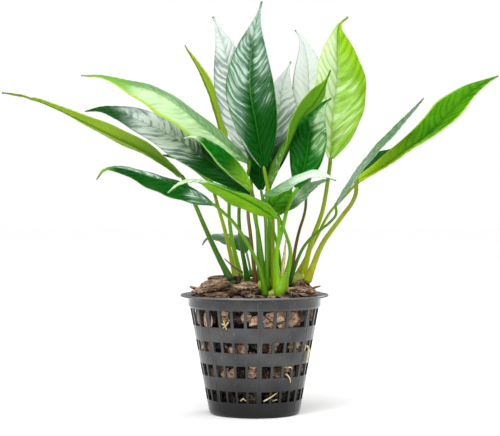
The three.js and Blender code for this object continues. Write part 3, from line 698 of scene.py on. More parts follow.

# Each leaf: its colours from the two lists above, its slot and what sets it apart.
# sheen: soft spots of painted silvery glare on its upper side, as (along, side, reach along,
#   reach across, strength). striping: how far that painted glare breaks up into stripes on the
#   pleats' lit flanks. streaking: how ragged it is. glint: how bright its painted highlight gets.
# relief: how far it puckers between its ribs. pitch: the distance between them. rib: their colour.
# edge and margin: the share of the half width that has the margin's colour, and that colour.
# tip: the colour of its tip, and where along the blade it starts. foot: the colour at the stalk.
# flare: how thick the stalk's foot is. blush: how much of the stalk is reddish.
LEAVES = {
    "tall_front": {
        "tint": "dark", "stalk": "yellow", "slot": "leaf_dark", "relief": 2.0, "striping": 0.85,
        "glint": 0.9,
        "sheen": [(0.9, 0.0, 0.2, 1.6, 1.05), (0.6, -0.55, 0.24, 0.6, 0.82),
                  (0.34, -0.75, 0.16, 0.4, 0.7), (0.62, 0.6, 0.16, 0.5, 0.7),
                  (0.12, -0.98, 0.16, 0.14, 1.0), (0.42, 0.5, 0.14, 0.5, 0.35)]},
    "tall_left_back": {
        "tint": "silver", "stalk": "green", "slot": "leaf_grey", "relief": 1.8, "striping": 0.85,
        "sheen": [(0.92, 0.0, 0.28, 1.6, 1.3), (0.5, -0.2, 0.3, 1.2, 0.8),
                  (0.15, -0.6, 0.25, 0.5, 1.3)]},
    "narrow_left_back": {
        "tint": "olive", "stalk": "bright", "slot": "leaf_lime", "edge": 0.15, "rib": "557010"},
    "upper_left": {
        "tint": "mint", "stalk": "dark", "slot": "leaf_mint", "striping": 0.2, "streaking": 0.6,
        "edge": 0.16, "margin": "a6cc0a", "tip": ("6fa836", 0.68),
        "sheen": [(0.52, -0.6, 0.3, 0.62, 1.25), (0.25, -0.5, 0.2, 0.5, 0.9),
                  (0.56, 0.8, 0.12, 0.4, 0.5)]},
    "short_left": {
        "tint": "forest", "stalk": "brown", "slot": "leaf_dark", "edge": 0.2, "margin": "94c468",
        # its pale tip colour is a painted highlight, like its sheen
        "tip": ("c8dcc4", 0.84), "foot": "84bc28", "sheen": [(0.95, 0.0, 0.14, 1.6, 1.3)]},
    "broad_left": {
        "tint": "steel", "stalk": "green", "slot": "leaf_dark", "striping": 0.35, "streaking": 1.1,
        "sheen": [(0.57, 0.0, 0.2, 1.5, 1.3), (0.74, 0.5, 0.12, 0.5, 0.9)]},
    "far_left": {
        "tint": "olive", "stalk": "dark", "slot": "leaf_lime", "foot": "3f6f06", "rib": "4c7008"},
    "low_left": {
        "tint": "dark", "stalk": "green", "slot": "leaf_dark", "tip": ("7ca830", 0.8),
        "striping": 0.4, "sheen": [(0.65, 0.3, 0.24, 0.4, 0.95), (0.1, -0.3, 0.14, 0.8, 0.7)]},
    "front_arching": {
        # its pale tip colour is a painted highlight, like its sheen
        "tint": "forest", "stalk": "bright", "slot": "leaf_lime", "tip": ("b4ccb8", 0.9),
        "rib": "2f7408", "sheen": [(0.85, 0.0, 0.24, 1.4, 1.3), (0.55, 0.5, 0.3, 0.8, 0.9)]},
    "behind_left": {"tint": "lime", "stalk": "yellow", "slot": "leaf_lime"},
    "upright_centre_back": {
        "tint": "silver", "stalk": "green", "slot": "leaf_grey", "striping": 0.9,
        "foot": "023c04", "sheen": [(0.88, 0.0, 0.34, 1.6, 1.5), (0.5, 0.0, 0.2, 1.6, 0.7)]},
    "dark_centre": {"tint": "dark", "stalk": "dark", "slot": "leaf_dark"},
    "upright_right_back": {
        # its whole upper side is painted glare: white tones and sheen over a green leaf
        "tint": "white", "stalk": "brown", "slot": "leaf_grey", "striping": 0.25,
        "streaking": 0.5, "relief": 0.7, "edge": 0.07, "margin": "64746a",
        "sheen": [(0.7, 0.0, 0.5, 1.6, 1.2)]},
    "tall_right": {
        "tint": "leafy", "stalk": "yellow", "slot": "leaf_lime", "relief": 1.7, "striping": 1.3,
        "streaking": 0.7, "glint": 0.85, "tip": ("86b804", 0.84), "rib": "a0c470",
        "pitch": 5.2 * MM,
        "sheen": [(0.44, -0.6, 0.45, 0.55, 1.6), (0.3, 0.35, 0.3, 0.7, 0.45),
                  (0.62, 0.2, 0.16, 0.5, 0.3)]},
    "twisted_right": {
        "tint": "moss", "stalk": "green", "slot": "leaf_dark", "rib": "3a6c08",
        "tip": ("62644c", 0.93), "sheen": [(0.2, 0.0, 0.2, 1.2, 0.45)]},
    "broad_right": {
        "tint": "forest", "stalk": "bright", "slot": "leaf_dark", "relief": 1.6,
        "sheen": [(0.8, 0.5, 0.2, 0.7, 0.95), (0.5, 0.6, 0.14, 0.4, 0.75)]},
    "front_right": {
        "tint": "sage", "stalk": "green", "slot": "leaf_mint", "striping": 0.15, "streaking": 0.3,
        "relief": 0.6, "sheen": [(0.75, 0.0, 0.4, 1.4, 1.2), (0.4, 0.3, 0.2, 0.8, 0.6)]},
    "low_right": {
        "tint": "sage", "stalk": "bright", "slot": "leaf_grey", "flare": 1.5, "streaking": 0.5,
        "striping": 0.3, "sheen": [(0.6, 0.0, 0.4, 1.2, 0.75)]},
    "small_centre": {"tint": "fresh", "stalk": "green", "slot": "leaf_lime"},
    "small_low_left": {
        "tint": "ash", "stalk": "green", "slot": "leaf_dark", "foot": "3c6c2c",
        "sheen": [(0.5, 0.3, 0.3, 0.5, 0.8)]},
    "far_right": {
        "tint": "fresh", "stalk": "yellow", "slot": "leaf_lime", "foot": "a8d020", "rib": "3c6c04",
        "margin": "a0c834", "edge": 0.14, "blush": 0.6, "striping": 0.4,
        "sheen": [(0.4, 0.6, 0.2, 0.5, 0.4)]},
    "small_right": {"tint": "dark", "stalk": "yellow", "slot": "leaf_dark"},
    "narrow_right": {
        "tint": "ash", "stalk": "dark", "slot": "leaf_grey", "streaking": 0.6, "rib": "4c6450",
        "sheen": [(0.2, 0.0, 0.3, 1.4, 0.5)]},
}


def build_foot_sheath():
    """The thick bright foot where two front stalks meet."""
    path = [(8.9, -12.9, 44.4), (9.2, -12.5, 46.4), (9.8, -11.0, 49.6), (10.7, -8.6, 53.0)]
    thickness = [1.4, 2.2, 1.9, 1.4]
    places = np.linspace(0, 1, 24)
    fine = through(np.array(path) * MM, places)
    sheath = rod("stalk_foot_sheath", fine, radii_through(np.array(thickness) * MM, places), 16)
    paint(sheath, "along", 0.0)
    return sheath


def build_leaves():
    """Every blade with its stalk, each with a material of its own."""
    for seed, (name, spec) in enumerate(LEAVES.items(), start=1):
        blade, centre, up = build_blade(name, spec, seed)
        tissue = leaf_material("leaf_" + name, spec, seed)
        finish_piece(blade, spec["slot"], tissue, "blade_" + name)
        stalk = build_stalk(name, spec, centre, up)
        foot, middle, top = map(shade, STALK_TINTS[spec["stalk"]])
        waxy = stalk_material("stalk_" + name, foot, middle, top, blush_share=spec.get("blush", 0.0))
        finish_piece(stalk, "petiole", waxy, "petiole_" + name)
    bright = shade("78a810")
    sheath = stalk_material("stalk_foot_sheath", bright, bright, shade("66a00c"))
    finish_piece(build_foot_sheath(), "petiole", sheath)


# ---- net pot ------------------------------------------------------------------------------
# Lengths with MM are in metres. The others here belong to the profile and are in millimetres.

POT_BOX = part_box("net_pot")
FLANGE_RADIUS = POT_BOX[1].x / MM
POT_HEIGHT = POT_BOX[1].z
BASE_RADIUS = 16.9 * MM
WALL_TAPER = 0.185
POT_WALL = 0.75 * MM
COLLAR_RADIUS = 24.9
HUB_RADIUS = 6.5          # the solid middle of the base
FOOT_HEIGHT = 1.8         # the rounded foot, under the wall proper
WALL_TOP = 39.9
SECTORS = 7
SLOTS_PER_SECTOR = 4
SLOT_DEGREES = 9.7
THIN_RIB_DEGREES = 2.7
FIRST_WIDE_RIB = 5        # degrees from the front, towards +X
SEAM_DEGREES = 1.2        # a raised mould seam stands on each wide rib
SEAM_HEIGHT = 0.08 * MM
SLOT_ROWS = ((5.7, 9.9), (14.9, 19.4), (24.2, 28), (33.4, 39.7))
BROKEN_RIB = (3, 2)       # row, and number among the thin ribs, of the one that has snapped out
BASE_SLOTS = (6.6, 13.4)  # the slots in the base start and end at these radii
BASE_SLOT_DEGREES = 13    # half of what each one takes up
POT_GLOSS = 0.3


def wall_radius(z):
    return BASE_RADIUS + WALL_TAPER * z


def pot_columns():
    """The wall's columns round the pot, in degrees from the front: (start, end, kind, number)."""
    sector = 360 / SECTORS
    slots = SLOTS_PER_SECTOR * SLOT_DEGREES
    wide = sector - slots - (SLOTS_PER_SECTOR - 1) * THIN_RIB_DEGREES
    plain = (wide - SEAM_DEGREES) / 2
    columns = []
    for s in range(SECTORS):
        at = FIRST_WIDE_RIB + s * sector - wide / 2
        kinds = [("rib", plain, s), ("seam", SEAM_DEGREES, s), ("rib", plain, s)]
        for k in range(SLOTS_PER_SECTOR):
            number = s * SLOTS_PER_SECTOR + k
            kinds += [("slot", SLOT_DEGREES / 3, number)] * 3
            kinds.append(("thin", THIN_RIB_DEGREES, number))
        for kind, breadth, number in kinds[:-1]:
            columns.append((at, at + breadth, kind, number))
            at += breadth
    return columns


def pot_profile():
    """The outline from the base's rim to the flange's lip, as (radius, height)."""
    heights = [FOOT_HEIGHT, *[z for row in SLOT_ROWS for z in row], WALL_TOP]
    wall = [(wall_radius(z * MM) / MM, z) for z in heights]
    foot = [(13.5, 0), (15.7, 0), (16.5, 0.25), (16.95, 0.8)]
    collar = [(COLLAR_RADIUS - 0.2, 40.25), (COLLAR_RADIUS, 40.7), (COLLAR_RADIUS, 42.6),
              (COLLAR_RADIUS + 0.2, 43.1), (COLLAR_RADIUS + 0.7, 43.4)]
    return [*foot, *wall, *collar, (26.6, 43.55), (FLANGE_RADIUS, 44.0)]


def raise_pot_wall():
    """Extrudes the selected edges of the base's hub along the profile."""
    radius, height = HUB_RADIUS, 0.0
    for new_radius, new_height in pot_profile():
        rise = (0, 0, (new_height - height) * MM)
        scale = new_radius / radius
        bpy.ops.mesh.extrude_edges_move(TRANSFORM_OT_translate={"value": rise})
        bpy.ops.transform.resize(value=(scale, scale, 1), center_override=(0, 0, 0))
        radius, height = new_radius, new_height


def column_of(centre, columns):
    first = columns[0][0]
    degrees = (math.degrees(math.atan2(centre.y, centre.x)) + 90 - first) % 360
    for column in columns:
        if column[0] - first <= degrees < column[1] - first:
            return column
    return columns[-1]


def is_open(centre, columns):
    """Whether the face with this centre belongs to a slot."""
    z = centre.z / MM
    if z < 0.1:
        sector = 360 / SECTORS
        degrees = math.degrees(math.atan2(centre.y, centre.x)) % sector
        near = min(degrees, sector - degrees)
        flat = math.hypot(centre.x, centre.y) / MM
        return BASE_SLOTS[0] < flat < BASE_SLOTS[1] and near < BASE_SLOT_DEGREES
    _, _, kind, number = column_of(centre, columns)
    for index, (low, high) in enumerate(SLOT_ROWS):
        if low < z < high:
            return kind == "slot" or (kind == "thin" and (index, number) == BROKEN_RIB)
    return False


def is_seam(centre, columns):
    on_wall_proper = FOOT_HEIGHT < centre.z / MM < WALL_TOP - 0.1
    return on_wall_proper and column_of(centre, columns)[2] == "seam"


def select_faces(pot, chosen, columns):
    bpy.ops.mesh.select_all(action="DESELECT")
    for face in bmesh.from_edit_mesh(pot.data).faces:
        face.select_set(len(face.verts) == 4 and chosen(face.calc_center_median(), columns))


def build_pot():
    columns = pot_columns()
    pot = primitive(bpy.ops.mesh.primitive_circle_add, "net_pot_wall", fill_type="NGON",
                    vertices=len(columns), radius=HUB_RADIUS * MM)
    starts = [math.radians(start - 90) for start, _, _, _ in columns]
    place_vertices(pot, [on_circle(HUB_RADIUS * MM, turn) for turn in starts])
    with editing(pot):
        bpy.ops.mesh.select_mode(type="EDGE")
        bpy.ops.mesh.select_all(action="DESELECT")
        for edge in bmesh.from_edit_mesh(pot.data).edges:
            edge.select_set(True)
        raise_pot_wall()
        bpy.ops.mesh.select_mode(type="FACE")
        select_faces(pot, is_open, columns)
        bpy.ops.mesh.delete(type="FACE")
        select_faces(pot, is_seam, columns)
        bpy.ops.mesh.extrude_region_shrink_fatten(TRANSFORM_OT_shrink_fatten={"value": SEAM_HEIGHT})
        bpy.ops.mesh.select_all(action="SELECT")
        bpy.ops.mesh.normals_make_consistent(inside=False)
    base_faces_up = sum(p.normal.z * p.area for p in pot.data.polygons if p.center.z < 0.1 * MM) > 0
    if base_faces_up:
        with editing(pot):
            bpy.ops.mesh.flip_normals()
    apply_modifier(pot, "SOLIDIFY", thickness=POT_WALL, offset=-1, use_even_offset=True)
    apply_modifier(pot, "BEVEL", width=0.16 * MM, segments=2, limit_method="ANGLE",
                   angle_limit=math.radians(35), use_clamp_overlap=True)
    return smooth(pot, 35)


def plastic_material():
    """Dull black plastic with fine scratches, with painted shade darkening it towards the foot and a
    painted reflection lightening the flange's top.
    """
    material, tree, shader = new_material("moulded_plastic")
    place = object_coordinates(tree)
    height = add(tree, "ShaderNodeSeparateXYZ", {"Vector": place}).outputs["Z"]
    blotches = noise_at(tree, place, 120, 4)
    grain = noise_at(tree, place, 3500, 2)
    specks = noise_at(tree, place, 2300, 2)
    upright = object_coordinates(tree, (1, 1, 0.06), (0.25, 0.2, 0))
    scratches = noise_at(tree, upright, 1400, 2, distortion=0.4)
    crosswise = object_coordinates(tree, (0.12, 1, 1), (0, 0.5, 0.3))
    scuffs = noise_at(tree, crosswise, 1100, 2)
    dark, worn = (0.034, 0.035, 0.036), (0.066, 0.066, 0.068)
    colour = mix(tree, remap(tree, blotches, 0.3, 0.7), dark, worn)
    for pattern, low, high, to_low, to_high, tint in (
            (scratches, 0.70, 0.74, 0.0, 0.45, (0.26, 0.26, 0.27)),
            (scuffs, 0.72, 0.75, 0.0, 0.35, (0.3, 0.3, 0.3)),
            (specks, 0.73, 0.76, 0.0, 0.5, (0.3, 0.3, 0.29)),
            # painted shade: the plastic is darkened towards the foot
            (height, 3 * MM, 22 * MM, 0.95, 0.0, (0.002, 0.002, 0.002)),
            # painted reflection: the flange's top and inner edge are lightened
            (height, 43.9 * MM, 44.3 * MM, 0.0, 0.8, (0.16, 0.16, 0.165))):
        colour = mix(tree, remap(tree, pattern, low, high, to_low, to_high), colour, tint)
    rough = calculate(tree, "MULTIPLY_ADD", scratches, 0.6, grain)
    set_inputs(tree, shader, {
        "Base Color": colour, "Roughness": remap(tree, blotches, 0.3, 0.7, 0.16, 0.28),
        "Normal": bump(tree, rough, 0.25, 0.06 * MM), "Specular IOR Level": POT_GLOSS})
    return material


# ---- bark, fibre and roots ----------------------------------------------------------------

BARK_ROUGHNESS = 0.85
BARK_GLOSS = 0.25
BARK_LEVEL = 44.0          # where the loose chips and threads lie on top, in millimetres
FLAKE_STEPS = (30, 20)
CHIP_CUTS = 10             # flat fracture faces on each chip
TOP_CHIPS = 120
TOP_REACH = 22.2           # loose chips on top lie this near the pot's middle, in millimetres
THREADS = 70
CORE_GAP = 1.9 * MM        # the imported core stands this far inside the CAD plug's side
CORE_ROUGHNESS = 0.9 * MM
HEAP_CHIPS = 110
HEAP_RADIUS = 8.5 * MM     # the heap of chips under the stem on the right
HEAP_FOOT = 43 * MM
HEAP_RISE = 1.8 * MM       # how far the heap comes up the stem
MOUTH_REACH = 22.5 * MM    # chips of the heap stay this near the pot's middle
STEM_RINGS = 7             # swollen rings along each stretch of the rhizome


def bark_group():
    """Broken bark: brown and pinkish tan, streaked along the grain, with dark cracks."""
    group, given, end = new_group("bark_grain", [
        ("Tone", "Float", 0.5), ("Dark", "Color", (0.018, 0.011, 0.008)),
        ("Brown", "Color", (0.16, 0.09, 0.055)), ("Tan", "Color", (0.46, 0.28, 0.19)),
    ], [("Color", "Color"), ("Height", "Float")])
    streaks = noise_at(group, object_coordinates(group, (0.25, 1, 1)), 1300, 5, 0.65, 0.6)
    patches = noise_at(group, object_coordinates(group), 260, 4)
    crumbs = noise_at(group, object_coordinates(group), 2400, 3)
    off_centre = calculate(group, "SUBTRACT", patches, 0.5)
    tone = calculate(group, "MULTIPLY_ADD", off_centre, 1.3, given["Tone"])
    colour = mix(group, remap(group, tone, 0.05, 0.55), given["Dark"], given["Brown"])
    colour = mix(group, remap(group, tone, 0.5, 0.95), colour, given["Tan"])
    colour = mix(group, remap(group, streaks, 0.4, 0.54, 0.9, 0.0), colour, given["Dark"])
    dust = remap(group, crumbs, 0.56, 0.72, 0.0, 0.45)
    set_inputs(group, end, {
        "Color": mix(group, dust, colour, (0.62, 0.50, 0.42)),
        "Height": calculate(group, "MULTIPLY_ADD", streaks, 1.4, crumbs)})
    return group


BARK_GRAIN = bark_group()


def bark_material(name, dark, brown, tan):
    """Rough dry bark, whose tone each piece sets for itself."""
    material, tree, shader = new_material(name)
    values = {"Tone": attribute(tree, "tone"), "Dark": dark, "Brown": brown, "Tan": tan}
    grain = add(tree, "ShaderNodeGroup", values, node_tree=BARK_GRAIN).outputs
    set_inputs(tree, shader, {
        "Base Color": grain["Color"], "Roughness": BARK_ROUGHNESS,
        "Normal": bump(tree, grain["Height"], 0.9, 0.6 * MM), "Specular IOR Level": BARK_GLOSS})
    return material


def root_material(name, pale, dull):
    material, tree, shader = new_material(name)
    patches = noise_at(tree, object_coordinates(tree), 700, 3)
    set_inputs(tree, shader, {
        "Base Color": mix(tree, remap(tree, patches, 0.35, 0.65), pale, dull),
        "Roughness": remap(tree, patches, 0.3, 0.7, 0.45, 0.7),
        "Normal": bump(tree, patches, 0.3, 0.1 * MM)})
    return material


def flake(size, seed):
    """A thin plate of bark, lying flat, with a torn outline and ridges along its grain."""
    plate = primitive(bpy.ops.mesh.primitive_grid_add, "flake", size=2,
                      x_subdivisions=FLAKE_STEPS[0], y_subdivisions=FLAKE_STEPS[1])
    points = []
    for x, y, _ in coordinates(plate):
        disc = Vector((x * math.sqrt(1 - y * y / 2), y * math.sqrt(1 - x * x / 2), 0))
        turn = math.atan2(disc.y, disc.x)
        far = disc.length
        torn = 1 + 0.34 * noise.noise(on_circle(2, turn, seed * 1.7))
        torn += 0.22 * far ** 4 * noise.noise(on_circle(7, turn, seed * 3.1))
        place = Vector((disc.x * torn * size[0], disc.y * torn * size[1], 0))
        ridge = noise.noise((place.x * 90, place.y * 520, seed * 2.3))
        warp = noise.noise((place.x * 110, place.y * 110, seed * 5.7))
        place.z = size[2] * (0.55 * ridge + 1.1 * warp - 0.5 * far ** 3)
        points.append(place)
    place_vertices(plate, points)
    apply_modifier(plate, "SOLIDIFY", thickness=size[2], offset=0)
    return smooth(plate, 40)


def slab_axes(node):
    """A slab's middle, its long, broad and thin directions, and its half sizes along them."""
    points = np.array([tuple(v.co) for v in nodes[node].data.vertices])
    middle = (points.min(0) + points.max(0)) / 2
    _, _, directions = np.linalg.svd(points - points.mean(0), full_matrices=False)
    if directions[2][2] < 0:
        directions[2] *= -1
    directions[1] = np.cross(directions[2], directions[0])
    reach = np.abs((points - middle) @ directions.T).max(0)
    return Vector(middle), directions, reach


def build_slab(name, middle, directions, reach, layers, seed):
    """A flaky lump: plates of bark stacked through the slab's thickness."""
    turn = Matrix([tuple(d) for d in directions]).transposed().to_4x4()
    rng = random.Random(seed)
    plates = []
    for k in range(layers):
        share = (k + 0.5) / layers * 2 - 1
        narrow = math.sqrt(max(0.12, 1 - 0.75 * share * share))
        size = (reach[0] * narrow * rng.uniform(0.72, 0.95),
                reach[1] * narrow * rng.uniform(0.72, 0.95),
                reach[2] / layers * rng.uniform(1.4, 1.9))
        plate = flake(size, seed * 10 + k)
        shift = Vector((rng.uniform(-0.12, 0.12) * reach[0], rng.uniform(-0.12, 0.12) * reach[1],
                        share * reach[2] * 0.75))
        tilt = turned(rng.uniform(-0.14, 0.14), "Y") @ turned(rng.uniform(-0.14, 0.14), "X")
        spin = turned(rng.uniform(-0.5, 0.5), "Z")
        in_stack = Matrix.Translation(shift) @ tilt @ spin
        plate.data.transform(Matrix.Translation(middle) @ turn @ in_stack)
        paint(plate, "tone", rng.uniform(0.4, 0.95))
        plates.append(plate)
    return join(plates, name)


# The main slabs and the number of plates in each.
SLABS = [("bark_slab_left", 7), ("bark_slab_centre", 6), ("bark_slab_right", 5),
         ("bark_slab_back", 5), ("bark_chip_back_left", 4)]

# Flaky bark beyond the main slabs, in millimetres: middle, half sizes, turns about X, Y and Z in
# degrees, and the number of plates.
EXTRA_BARK = [
    ("bark_ridge_left", (-11, 3, 49.2), (9.5, 6.5, 2.8), (-8, -8, 12), 4),
    ("bark_behind_stalks", (1, 9.5, 48.2), (10, 4.5, 2.6), (6, 2, -8), 4),
    ("bark_front_left", (-14, -9, 46.6), (9, 6, 2.2), (12, -6, -18), 4),
    ("bark_splinter_left", (-19.8, -3, 46.2), (5.0, 2.6, 0.7), (0, 17, 12), 2),
    ("bark_splinter_right", (20.0, -3, 46.0), (4.8, 2.4, 0.7), (0, -20, -12), 2),
    ("bark_front_right", (16, -8, 45.6), (6.0, 5.0, 1.8), (10, 5, 22), 3),
]

# Chips against the wall, from the top down: height in millimetres and how many go round the pot.
CHIP_ROWS = ((36.6, 34), (32, 20), (26.2, 32), (21.5, 18), (17.2, 28), (12, 14), (7.4, 20))
CHIP_TONES = (0.05, 0.5, 0.8, 1.3)


def chip_patterns():
    """A few broken chips, each a lump with flat fracture faces cut on it."""
    patterns = []
    rng = random.Random(11)
    for k in range(6):
        chip = primitive(bpy.ops.mesh.primitive_ico_sphere_add, "chip", subdivisions=2, radius=1)
        with editing(chip):
            for _ in range(CHIP_CUTS):
                bpy.ops.mesh.select_all(action="SELECT")
                normal = Vector([rng.gauss(0, 1) for _ in range(3)]).normalized()
                bpy.ops.mesh.bisect(plane_co=normal * rng.uniform(0.5, 0.75), plane_no=normal,
                                    use_fill=True, clear_outer=True)
        lumps = []
        for point in map(Vector, coordinates(chip)):
            lumps.append(point * (1 + 0.12 * noise.noise(point * 2.5 + Vector((k, 0, 0)))))
        place_vertices(chip, lumps)
        patterns.append(smooth(chip, 25))
    return patterns


def scattered(patterns, places, name):
    """Copies of the patterns, each with its own mesh, joined: places are (matrix, tone)."""
    copies = []
    for k, (matrix, tone) in enumerate(places):
        source = patterns[k % len(patterns)]
        copy = put_in_scene(source.copy())
        copy.data = source.data.copy()
        copy.data.transform(matrix)
        paint(copy, "tone", tone)
        copies.append(copy)
    return join(copies, name)


def on_wall_inside(degrees, height, size):
    """The place of a chip that lies against the inside of the wall, degrees from the front."""
    turn = math.radians(degrees - 90)
    inside = wall_radius(height) - POT_WALL - 0.2 * MM - size.z
    face_out = turned(turn, "Z") @ turned(math.pi / 2, "Y")
    return Matrix.Translation(on_circle(inside, turn, height)) @ face_out


def sized(size):
    return Matrix.Diagonal((*size, 1))


def chips_at_wall(rng):
    """Chips pressed against the inside of the pot's wall, with painted shade that darkens them
    further down in the pot.
    """
    places = []
    for z, how_many in CHIP_ROWS:
        # painted shade: the share of a chip's own tone that is kept, less lower down in the pot
        unshaded = min(1.0, max(0.0, (z - 7) / 16))
        for k in range(how_many):
            height = (z + rng.uniform(-1.5, 1.5)) * MM
            size = random_vector(rng, (2.2, 5.0), (2.2, 4.2), (1.0, 2.0)) * MM
            around = 360 * (k + rng.uniform(-0.35, 0.35)) / how_many
            at = on_wall_inside(around, height, size * rng.uniform(0.75, 1.9))
            lean = turned(rng.uniform(-0.4, 0.4), "X") @ turned(rng.uniform(-3, 3), "Z")
            tone = rng.choice(CHIP_TONES) + rng.uniform(-0.1, 0.1)
            places.append((at @ lean @ sized(size), tone * (0.04 + 0.96 * unshaded)))
    behind_broken_rib = Vector((4.4, 6.0, 1.6)) * MM
    at = on_wall_inside(30.6, 36.4 * MM, behind_broken_rib * 0.8)
    places.append((at @ turned(0.12, "Z") @ sized(behind_broken_rib), 0.72))
    return places


def chips_on_top(rng):
    """Chips lying over the top, and heaped under the stem on the right."""
    places = []
    for _ in range(TOP_CHIPS):
        turn = rng.uniform(0, 2 * math.pi)
        out = TOP_REACH * math.sqrt(rng.uniform(0.02, 1)) * MM
        size = random_vector(rng, (1.2, 3.6), (0.8, 2.2), (0.4, 1.0)) * MM
        at = on_circle(out, turn, (BARK_LEVEL + rng.uniform(-0.6, 0.9)) * MM)
        lean = turned(rng.uniform(0, 6.3), "Z") @ turned(rng.uniform(-0.6, 0.6), "X")
        matrix = Matrix.Translation(at) @ lean @ sized(size)
        places.append((matrix, rng.uniform(0.15, 0.8)))
    low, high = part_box("rhizome_right")
    summit = (low + high) / 2
    summit.z = low.z + HEAP_RISE
    for _ in range(HEAP_CHIPS):
        level = rng.uniform(0, 1)
        turn = rng.uniform(0, 2 * math.pi)
        spread = HEAP_RADIUS * (1 - 0.62 * level) * rng.uniform(0.5, 1)
        height = HEAP_FOOT + (summit.z - HEAP_FOOT) * level
        size = random_vector(rng, (1.4, 3.2), (1.0, 2.2), (0.6, 1.3)) * MM
        x = summit.x + spread * math.cos(turn)
        y = summit.y + 0.8 * spread * math.sin(turn)
        if math.hypot(x, y) > MOUTH_REACH:
            continue
        lean = turned(turn, "Z") @ turned(rng.uniform(0.2, 0.9), "Y")
        matrix = Matrix.Translation((x, y, height)) @ lean @ sized(size)
        places.append((matrix, rng.uniform(0.2, 0.65)))
    return places


def build_medium_core():
    """The middle of the growing medium, behind the chips, made dark as painted shade."""
    core = nodes["growing_medium"].copy()
    core.data = nodes["growing_medium"].data.copy()
    core.name = "medium_core"
    for key in list(core.keys()):
        del core[key]
    core.parent = None
    core.hide_render = False
    with editing(put_in_scene(core)):
        bpy.ops.mesh.remove_doubles(threshold=1e-6)
        bpy.ops.mesh.subdivide(number_cuts=2)
    shrunk = []
    for x, y, z in coordinates(core):
        flat = math.hypot(x, y)
        rough = noise.noise(Vector((x, y, z)) * 330) * CORE_ROUGHNESS
        inward = (CORE_GAP - rough) / max(flat, 1 * MM)
        keep = 1 - inward * min(1, flat / (15 * MM))
        on_top = z > POT_HEIGHT - 5 * MM
        shrunk.append((x * keep, y * keep, z + (rough * 0.8 if on_top else 0)))
    place_vertices(core, shrunk)
    # a low tone: painted shade
    paint(core, "tone", 0.12)
    return smooth(core)


def strand(name, points, radius, tip, sides, steps):
    """A thin thread or root, which narrows to a share of its radius at the tip."""
    fine = through(points, np.linspace(0, 1, steps))
    return rod(name, fine, np.linspace(radius, radius * tip, steps), sides)


def fibre_paths(rng):
    """Loose coir fibres on the bark: short bent threads."""
    paths = []
    for _ in range(THREADS):
        turn = rng.uniform(0, 2 * math.pi)
        out = rng.uniform(4, 22) * MM
        start = Vector(on_circle(out, turn, (BARK_LEVEL + 0.4 + rng.uniform(0, 1.4)) * MM))
        heading = rng.uniform(0, 2 * math.pi)
        reach = rng.uniform(2.5, 7) * MM
        end = start + Vector(on_circle(1, heading, rng.uniform(-0.15, 0.35))) * reach
        if math.hypot(end.x, end.y) > 23 * MM:
            end = start - (end - start) * 0.6
        bend = random_vector(rng, (-1, 1), (-1, 1), (0, 1)) * MM
        paths.append([start, (start + end) / 2 + bend, end])
    return paths


def build_fibres():
    rng = random.Random(5)
    threads = []
    for k, path in enumerate(fibre_paths(rng)):
        thread = strand(f"thread_{k}", path, rng.uniform(0.08, 0.16) * MM, 0.4, 4, 8)
        paint(thread, "tone", rng.uniform(0.3, 0.9))
        threads.append(thread)
    return join(threads, "coir_fibres")


# Roots that show in the slots, in millimetres, each point as degrees from the front towards +X,
# height, and distance outside the wall.
ROOTS = [
    [(-31, 36.8, -1.4), (-29, 35.4, -0.6), (-27, 34.2, 0.3), (-25.6, 33.0, 0.5)],
    [(-32.4, 34.9, -0.8), (-29, 34.7, -0.2), (-26, 34.3, -0.2)],
    [(-24.8, 35.6, -0.8), (-27, 34.4, 0.1), (-29.6, 33.4, 0.4)],
    [(60, 27.4, -1), (58.4, 26, 0.3), (56.6, 24.6, 0.6)],
    [(35, 18.8, -1.4), (39, 18.9, -0.3), (43, 18.2, -0.2), (45.5, 17, -1.2)],
    [(36, 16.4, -0.6), (39, 15.2, 0.3), (41, 13.9, 0.4), (42, 13, 0.3)],
    [(11, 6.4, -0.9), (15, 7.4, 0.2), (19, 8.2, 0.4), (23, 9.0, 0.3), (29, 9.6, -1)],
    [(-18, 6.4, -1.4), (-14, 7.4, -0.9), (-11, 6.6, -1), (-9, 7, -1.6)],
    [(24, 6.2, -1.8), (28, 6.8, -1.2), (31, 6.4, -1.6)],
]


def on_wall(degrees, z, out):
    radius = wall_radius(z * MM) + out * MM
    return on_circle(radius, math.radians(degrees - 90), z * MM)


def build_roots():
    roots = []
    for k, path in enumerate(ROOTS):
        points = [on_wall(*place) for place in path]
        roots.append(strand(f"root_{k}", points, 0.28 * MM, 0.5, 8, 16))
    return join(roots, "roots_in_slots")


def dressed_rod(node, name, bulge=0.0, sides=8):
    """A rod on a CAD rod's own sections, with swollen rings where old leaves stood."""
    mesh = merged_copy(node)
    poles = [v for v in mesh.verts
             if all(len(e.other_vert(v).link_edges) == 5 for e in v.link_edges)]
    centres, radii = sections_from(poles[0], 5)
    centres = [poles[0].co.copy(), *centres, poles[1].co.copy()]
    radii = [0.15 * MM, *radii, 0.15 * MM]
    mesh.free()
    places = np.linspace(0, 1, 60)
    swollen = np.abs(np.sin(math.pi * STEM_RINGS * places)) ** 0.5
    sizes = radii_through(radii, places) * (1 + bulge * swollen - bulge * 0.6)
    piece = rod(name, through(centres, places), np.maximum(sizes, 0.1 * MM), sides)
    paint_height(piece)
    return piece


def build_growing_medium(bark):
    # darker copies of the bark's colours: painted shade in the depth of the pot
    medium = bark_material("medium_in_painted_shade", shade("0c0806"), shade("4a3324"), shade("8a6248"))
    finish_piece(build_medium_core(), "growing_medium", medium, "growing_medium")
    patterns = chip_patterns()
    rng = random.Random(3)
    for name, places in (("chips_in_pot", chips_at_wall(rng)), ("chips_on_top", chips_on_top(rng))):
        chips = scattered(patterns, places, name)
        finish_piece(chips, "growing_medium", bark, "growing_medium")
    for pattern in patterns:
        bpy.data.objects.remove(pattern)


